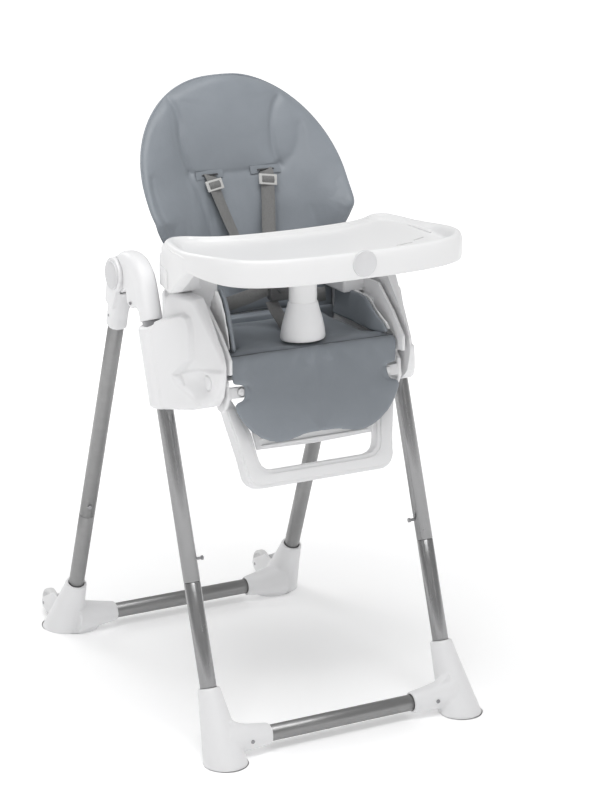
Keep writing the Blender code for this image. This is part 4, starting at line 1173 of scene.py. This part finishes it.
def back_shell():
    """The moulded shell behind the cushion, with a lip and stiffening ribs."""
    columns, rows = 48, 64
    front, rear = [], []
    for j in range(rows + 1):
        z = 0.643 + (1.030 - 0.643) * j / rows
        half = cover_half(z) - 0.0045 - 0.0125 * float(smooth_step((z - 0.72) / 0.20))
        line = [share * half for share in np.linspace(-1, 1, columns + 1)]
        front.append([Vector((x, float(back_front(x, z)) + SHELL_BEHIND - 0.006, z)) for x in line])
        rear.append([point + Vector((0, 0.0035, -0.001)) for point in front[-1]])
    rings = [[*a, *reversed(b)] for a, b in zip(front, rear)]
    shell = rounded(loft(rings), 0.0011, 2, 50)
    put("backrest_shell_moulding", shell, WHITE, "backrest", "white_plastic", "backrest_shell", crease=45)
    for i, x in enumerate((-0.09, -0.045, 0.045, 0.09)):
        line = [Vector((x * (1.0 if z > 0.8 else 0.9), float(back_front(x, z)) + SHELL_BEHIND - 0.0012, z))
                for z in np.linspace(0.67, 0.985, 24)]
        put(f"backrest_rib_{i + 1}", cord_mesh(line, 0.0032, False, 12), WHITE, "backrest", "white_plastic",
            crease=80)
    for side_name, side in SIDES:
        ear = [(-0.0315, 0.648), (-0.009, 0.625), (0.0, 0.622), (0.010, 0.626), (0.014, 0.642),
               (-0.004, 0.72), (-0.016, 0.72)]
        put(f"backrest_ear_{side_name}", side_slab(ear, side, 0.1215, 0.1386, 0.003, 3), WHITE, "backrest",
            "white_plastic")
    y = BACK_Y + BACK_SLOPE * (0.969 - BACK_Z) + SHELL_BEHIND + 0.006
    grip = [(0.0, 0.0), (0.008, -0.002), (0.020, 0.0), (0.025, 0.006), (0.0245, 0.014), (0.018, 0.023),
            (0.008, 0.026), (0.0, 0.025)]
    place = Matrix.Translation((0, y - 0.004, 0.945)) @ ACROSS_X
    handle = fuse([slab(grip, -0.055, 0.055, place)], 0.0018, 6)
    put("recline_handle_moulding", handle, WHITE, "recline_handle", "white_plastic", "recline_handle",
        crease=60)


def seat_pad():
    """The seat cushion: full width over the knee roll, narrower between the tub's walls."""
    front = [(0.0, -0.2415), (0.10, -0.2410), (0.142, -0.2400), (0.1535, -0.2360), (0.1545, -0.2260)]
    outline = mirrored([*front, (0.1500, -0.2120), (0.134, -0.2040), (0.1255, -0.195), (0.1255, -0.060),
                        (0.118, -0.048), (0.0, -0.046)])
    low, high = 0.6175, 0.6575

    def place(x, y, w):
        z = (low + high) / 2 + w * (high - low) / 2
        return knee_limit(np.stack([x, y, z], axis=1))

    mesh, flat, across = pad_mesh(outline, 0.036, 0.0052, 0.016, place)
    points = coords(mesh)
    held = np.where(across < 0.1, 1.0, 0.0)
    held = np.maximum(held, np.clip(1 - line_distance(flat, outline, True) / 0.008, 0, 1) * 0.8)
    post = np.hypot(points[:, 0], (points[:, 1] - POST_Y) * 1.2)
    dent = np.exp(-((np.maximum(0, post - 0.038) / 0.014) ** 2))
    points[:, 2] -= np.where(across > 0, 0.0035 * dent, 0)
    held = np.maximum(held, dent * 0.9)
    set_coords(mesh, points)
    mesh = puff(mesh, held, 0.009, 5.0)
    set_coords(mesh, knee_limit(coords(mesh)))
    mesh = finer(mesh)
    ripple(mesh, 28, 0.0011, 9.0)
    points = coords(mesh)
    clear = np.hypot(points[:, 0], (points[:, 1] - POST_Y) / 0.78) < 0.045
    points[:, 2] = np.where(clear, np.minimum(points[:, 2], 0.6578), points[:, 2])
    set_coords(mesh, knee_limit(points))
    obj = put("seat_cushion_cover", mesh, COVER, "seat", "leatherette", "seat_cushion", crease=70)
    # a thin cord in the darker leatherette copy, painted as the shade in the crease along the front seam
    line = [Vector((x, -0.2385 + 0.0008 * math.sin(x * 70), 0.6535 + 0.0006 * math.sin(x * 45)))
            for x in np.linspace(-0.152, 0.152, 60)]
    put("seat_front_seam", cord_mesh(line, 0.0014), SEAM_SHADE, "seat", "leatherette", crease=80)


def knee_limit(points):
    """Keeps the pad inside the round that the footrest's cover turns about."""
    ahead = points[:, 1] - FOOT_PIVOT.y
    up = points[:, 2] - FOOT_PIVOT.z
    radius = np.hypot(ahead, up)
    scale = np.where(ahead < 0, np.minimum(1, KNEE_R / np.maximum(radius, 1e-9)), 1)
    return np.stack([points[:, 0], FOOT_PIVOT.y + ahead * scale, FOOT_PIVOT.z + up * scale], axis=1)


FLAP_S = [-0.0130, -0.004, 0.006, 0.016]
FLAP_Y = [-0.2388, -0.2434, -0.2455, -0.2468]
FLAP_Z = [0.6545, 0.6468, 0.6372, 0.6275]


def calf_flap():
    """The cover's flap over the calf panel: two lobes, a notch at each tab and a centre stitch."""
    half = [(0.0, -0.013), (0.10, -0.013), (0.1545, -0.012), (0.1562, 0.000), (0.1535, 0.028),
            (0.150, 0.0355)]
    half += [(0.1335, 0.0365), *arc((0.1345, 0.0480), 0.0118, 100, 258, 9), (0.1370, 0.0602),
             (0.1505, 0.0648)]
    half += [(0.1550, 0.071), (0.1505, 0.084), (0.1415, 0.099), (0.129, 0.1135), (0.113, 0.1260),
             (0.097, 0.1345)]
    half += [(0.081, 0.1388), (0.066, 0.1390), (0.051, 0.1362), (0.036, 0.1325), (0.020, 0.1305),
             (0.0, 0.1300)]
    outline = mirrored(half)
    thickness = 0.0085

    def place(x, s, w):
        depth = np.interp(s, [0.016, 0.06, 0.15], [-0.0315, -0.0265, -0.0165])
        y = FOOT_PIVOT.y - math.sin(FOOT_TILT) * s + math.cos(FOOT_TILT) * (depth - FOOT_FACE)
        z = FOOT_PIVOT.z - math.cos(FOOT_TILT) * s - math.sin(FOOT_TILT) * (depth - FOOT_FACE)
        shift_y = FLAP_Y[-1] - (FOOT_PIVOT.y - math.sin(FOOT_TILT) * 0.016 + math.cos(FOOT_TILT) * -0.0415)
        shift_z = FLAP_Z[-1] - (FOOT_PIVOT.z - math.cos(FOOT_TILT) * 0.016 - math.sin(FOOT_TILT) * -0.0415)
        ease = 1 - smooth_step((s - 0.016) / 0.05)
        y = np.where(s < 0.016, np.interp(s, FLAP_S, FLAP_Y), y + shift_y * ease)
        z = np.where(s < 0.016, np.interp(s, FLAP_S, FLAP_Z), z + shift_z * ease)
        bow = 0.0018 * np.cos(np.clip(x / 0.155, -1, 1) * math.pi / 2) * smooth_step(s / 0.05)
        return np.stack([x, y - w * thickness / 2 - bow, z + w * 0.0008], axis=1)

    mesh, flat, across = pad_mesh(outline, thickness, 0.0036, 0.0055, place)
    points = coords(mesh)
    held = np.clip(1 - line_distance(flat, outline, True) / 0.007, 0, 1)
    stitch = np.exp(-((flat[:, 0] / 0.0035) ** 2)) * smooth_step((flat[:, 1] + 0.012) / 0.02)
    held = np.maximum(held, stitch)
    held = np.maximum(held, np.where(across < 0, 1.0, 0))
    points[:, 1] += np.where(across > 0, 0.0022 * stitch, 0)
    wander = np.sin(flat[:, 0] * 150
                    + 1.5 * np.sin(flat[:, 0] * 47)) * (0.6 + 0.4 * np.sin(flat[:, 0] * 31 + 1))
    pucker = wander * np.exp(-(((flat[:, 1] + 0.002) / 0.017) ** 2)) * 0.0022
    points[:, 1] += np.where(across > 0, pucker, 0)
    set_coords(mesh, points)
    mesh = puff(mesh, held, 0.0035, 3.5)
    mesh = finer(mesh)
    ripple(mesh, 20, 0.0009, 5.0)
    obj = put("calf_cushion_cover", mesh, COVER, None, "leatherette", "calf_cushion", crease=70)
    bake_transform(obj)


def wing_place(side, middle_x, half):
    """A layer of a wing, half thick to each side of middle_x, leaning out with height and at the front."""
    lean = 0.010 if side > 0 else 0.016

    def place(y, z, w):
        rise = np.clip((z - 0.656) / 0.06, 0, 2)
        x = middle_x + half * w + lean * 0.5 * rise + 0.010 * smooth_step((-0.2 - y) / 0.04)
        return np.stack([side * x, y, z], axis=1)

    return place


def side_pads():
    """The cover's wings inside the tub's walls. The left one stands higher and shows its white lining."""
    right = [(-0.072, 0.6560), (-0.228, 0.6560), (-0.2420, 0.6600), (-0.2330, 0.6700), (-0.2160, 0.6840)]
    right += [(-0.1950, 0.6990), (-0.1760, 0.7075), (-0.1560, 0.7092), (-0.072, 0.7092)]
    left = [(-0.135, 0.6560), (-0.225, 0.6560), (-0.2340, 0.6620), (-0.2330, 0.6800), (-0.2180, 0.7150)]
    left += [(-0.2030, 0.7480), (-0.1960, 0.7580), (-0.1860, 0.7600), (-0.1700, 0.7400), (-0.150, 0.7150),
             (-0.135, 0.7085)]
    for side_name, side, outline in (("left", -1, left), ("right", 1, right)):
        mesh, flat, _ = pad_mesh(outline, 0.0075, 0.0034, 0.004, wing_place(side, 0.1310, 0.0035))
        held = np.clip(1 - line_distance(flat, outline, True) / 0.006, 0, 1)
        mesh = puff(mesh, held, 0.004, 3.0)
        mesh = finer(mesh)
        ripple(mesh, 32, 0.0011, 11.0 + side)
        obj = put(f"side_pad_{side_name}_cover", mesh, COVER, "seat", "leatherette",
                  f"side_pad_{side_name}", crease=70)
        shrunk = [(-0.18 + (y + 0.18) * 0.93, 0.705 + (z - 0.705) * 0.93) for y, z in outline]
        lining, _, _ = pad_mesh(shrunk, 0.004, 0.0026, 0.003, wing_place(side, 0.1385, 0.0018))
        ripple(lining, 60, 0.0016, 17.0)
        put(f"side_pad_{side_name}_lining", lining, LINING, "seat", "leatherette", crease=70)


# ---------------------------------------------------------------- harness

def harness():
    """The shoulder, lap and crotch tapes, and the buckle they meet at."""
    for side_name, side in SIDES:
        guide = [(0.0536, 0.0028, 0.8965), (0.0530, -0.0042, 0.8900), (0.0505, -0.0062, 0.8760),
                 (0.0440, -0.0120, 0.8450)]
        guide += [(0.0330, -0.0240, 0.8000), (0.0240, -0.0400, 0.7560), (0.0170, -0.0560, 0.7290)]
        line = []
        for x, out, z in curve_through(guide, 6, False):
            line.append(Vector((side * x, float(back_front(x + 0.0125, z)) + out, z)))

        def width(share, side=side):
            return (1, side * -0.35 * share, side * 0.30)

        put(f"shoulder_strap_{side_name}_tape", ribbon(line, width, 0.0118, 0.0016), TAPE, "backrest",
            "webbing", f"shoulder_strap_{side_name}", crease=60)
        adjuster(side_name, side, line[9], line[12])
        lap = [(0.1175, -0.066, 0.690), (0.098, -0.080, 0.694), (0.060, -0.108, 0.712),
               (0.0225, -0.120, 0.727)]
        line = [Vector((side * x, y, z)) for x, y, z in curve_through(lap, 6, False)]
        put(f"lap_strap_{side_name}_tape", ribbon(line, lambda share: (0, 0.15, 1), 0.0118, 0.0016), TAPE,
            "seat", "webbing",
            f"lap_strap_{side_name}", crease=60)
    crotch = [(0.0, -0.148, 0.6600), (-0.004, -0.143, 0.672), (-0.012, -0.132, 0.690),
              (-0.016, -0.122, 0.706)]
    line = [Vector(point) for point in curve_through(crotch, 6, False)]
    put("crotch_strap_tape", ribbon(line, lambda share: (1, 0.1, 0.1), 0.0120, 0.0018), TAPE, "seat",
        "webbing", "crotch_strap", crease=60)
    core = slab([(-0.019, 0.7055), (0.019, 0.7055), (0.021, 0.712), (0.021, 0.742), (0.017, 0.748),
                 (-0.017, 0.748), (-0.021, 0.742), (-0.021, 0.712)], 0.1135, 0.1305, ACROSS_Y, 0.003, 3)
    button = cone((0, -0.1300, 0.727), (0, -0.1325, 0.727), 0.0085, 0.008, 40)
    put("harness_buckle_body", merged(core, rounded(button, 0.0008, 2)), BUCKLE, "seat", "clip_plastic",
        "harness_buckle")


def adjuster(side_name, side, start, end):
    """A three-bar slider: a rounded frame with two windows and the webbing over its middle bar."""
    ahead = (end - start).normalized()
    out = Vector((side * -0.1, -1, 0.3)).normalized()
    out = (out - ahead * out.dot(ahead)).normalized()
    across = ahead.cross(out).normalized()
    centre = (start + end) / 2 + out * 0.0026
    turn = Matrix((across, ahead, out)).transposed().to_4x4()
    place = Matrix.Translation(centre) @ turn
    rim = slab([(-0.0165, -0.0095), (0.0165, -0.0095), (0.0165, 0.0095), (-0.0165, 0.0095)], -0.0013,
               0.0013, place, 0.0010, 3)
    windows = [
        slab([(-0.0128, a), (0.0128, a), (0.0128, b), (-0.0128, b)], -0.01, 0.01, place)
        for a, b in ((-0.0068, -0.0018), (0.0018, 0.0068))
    ]
    node = f"strap_adjuster_{side_name}"
    put(f"{node}_frame", carve(rim, *windows), CLIP, "backrest", "clip_plastic", node)
    hump = [centre + ahead * (0.0072 * t) + out * (0.0022 * math.cos(t * math.pi / 2))
            for t in np.linspace(-1, 1, 9)]
    put(f"{node}_tape", ribbon(hump, lambda share: across, 0.0112, 0.0014), TAPE, "backrest", "webbing",
        crease=60)


# ---------------------------------------------------------------- stage

def area_light(name, place, target, size, power, size_y=None):
    """A soft light at place, turned to target; a rectangle when size_y is given."""
    data = bpy.data.lights.new(name, "AREA")
    data.energy = power
    data.size = size
    if size_y is not None:
        data.shape = "RECTANGLE"
        data.size_y = size_y
    lamp = bpy.data.objects.new(name, data)
    lamp.location = place
    lamp.rotation_euler = (Vector(target) - Vector(place)).to_track_quat("-Z", "Y").to_euler()
    bpy.context.scene.collection.objects.link(lamp)


def stage():
    """The camera, a white surround that dims with height, the pale floor and the lights."""
    scene = bpy.context.scene
    scene.view_settings.view_transform = "Standard"
    camera_data = bpy.data.cameras.new("camera")
    camera_data.lens = CAMERA_LENS
    camera_data.sensor_width = CAMERA_SENSOR
    camera = bpy.data.objects.new("camera", camera_data)
    camera.location = CAMERA_PLACE
    camera.rotation_euler = (CAMERA_TARGET - CAMERA_PLACE).to_track_quat("-Z", "Y").to_euler()
    scene.collection.objects.link(camera)
    scene.camera = camera

    world = bpy.data.worlds.new("studio")
    world.use_nodes = True
    tree = world.node_tree
    background = tree.nodes["Background"]
    background.inputs["Color"].default_value = (1, 1, 1, 1)
    place = tree.nodes.new("ShaderNodeTexCoord")
    split = tree.nodes.new("ShaderNodeSeparateXYZ")
    sky = tree.nodes.new("ShaderNodeMapRange")
    sky.inputs["From Max"].default_value = 0.22
    sky.inputs["To Min"].default_value = 1.0
    sky.inputs["To Max"].default_value = 0.44
    tree.links.new(place.outputs["Generated"], split.inputs["Vector"])
    tree.links.new(split.outputs["Z"], sky.inputs["Value"])
    tree.links.new(sky.outputs["Result"], background.inputs["Strength"])
    scene.world = world

    floor_material, tree, surface = nodes_of("studio_floor", 0.7)
    speck = texture(tree, "ShaderNodeTexNoise", 3, Detail=2)
    tree.links.new(ramp(tree, speck.outputs["Fac"], (0.90, 0.90, 0.905), (0.92, 0.92, 0.92)),
                   surface.inputs["Base Color"])
    surface.inputs["Emission Color"].default_value = (1, 1, 1, 1)
    place = tree.nodes.new("ShaderNodeTexCoord")
    length = tree.nodes.new("ShaderNodeVectorMath")
    length.operation = "LENGTH"
    glow = tree.nodes.new("ShaderNodeMapRange")
    glow.inputs["From Min"].default_value = 0.6
    glow.inputs["From Max"].default_value = 2.6
    glow.inputs["To Min"].default_value = 0.20
    glow.inputs["To Max"].default_value = 0.68
    tree.links.new(place.outputs["Object"], length.inputs[0])
    tree.links.new(length.outputs["Value"], glow.inputs["Value"])
    tree.links.new(glow.outputs["Result"], surface.inputs["Emission Strength"])
    surface.inputs["Specular IOR Level"].default_value = 0.1
    bm = bmesh.new()
    bmesh.ops.create_circle(bm, cap_ends=True, segments=96, radius=FLOOR_RADIUS)
    mesh = from_bm(bm)
    mesh.materials.append(floor_material)
    floor = bpy.data.objects.new("studio_floor", mesh)
    floor.location = (0, 0, FLOOR_Z)
    scene.collection.objects.link(floor)

    for light in LIGHTS:
        area_light(*light)


NODE_LOOKS = {"hinge_pin": STEEL, "height_stop_pin": STEEL, "wheel_axle": STEEL}
for node_name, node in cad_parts.items():
    for start, look in NODE_LOOKS.items():
        if node_name.startswith(start):
            node.data.materials.clear()
            node.data.materials.append(look)

leg_frames()
tub()
for name, direction in SIDES:
    housing(name, direction)
tray()
footrest()
back_shell()
back_cushion()
seat_pad()
calf_flap()
side_pads()
harness()
stage()
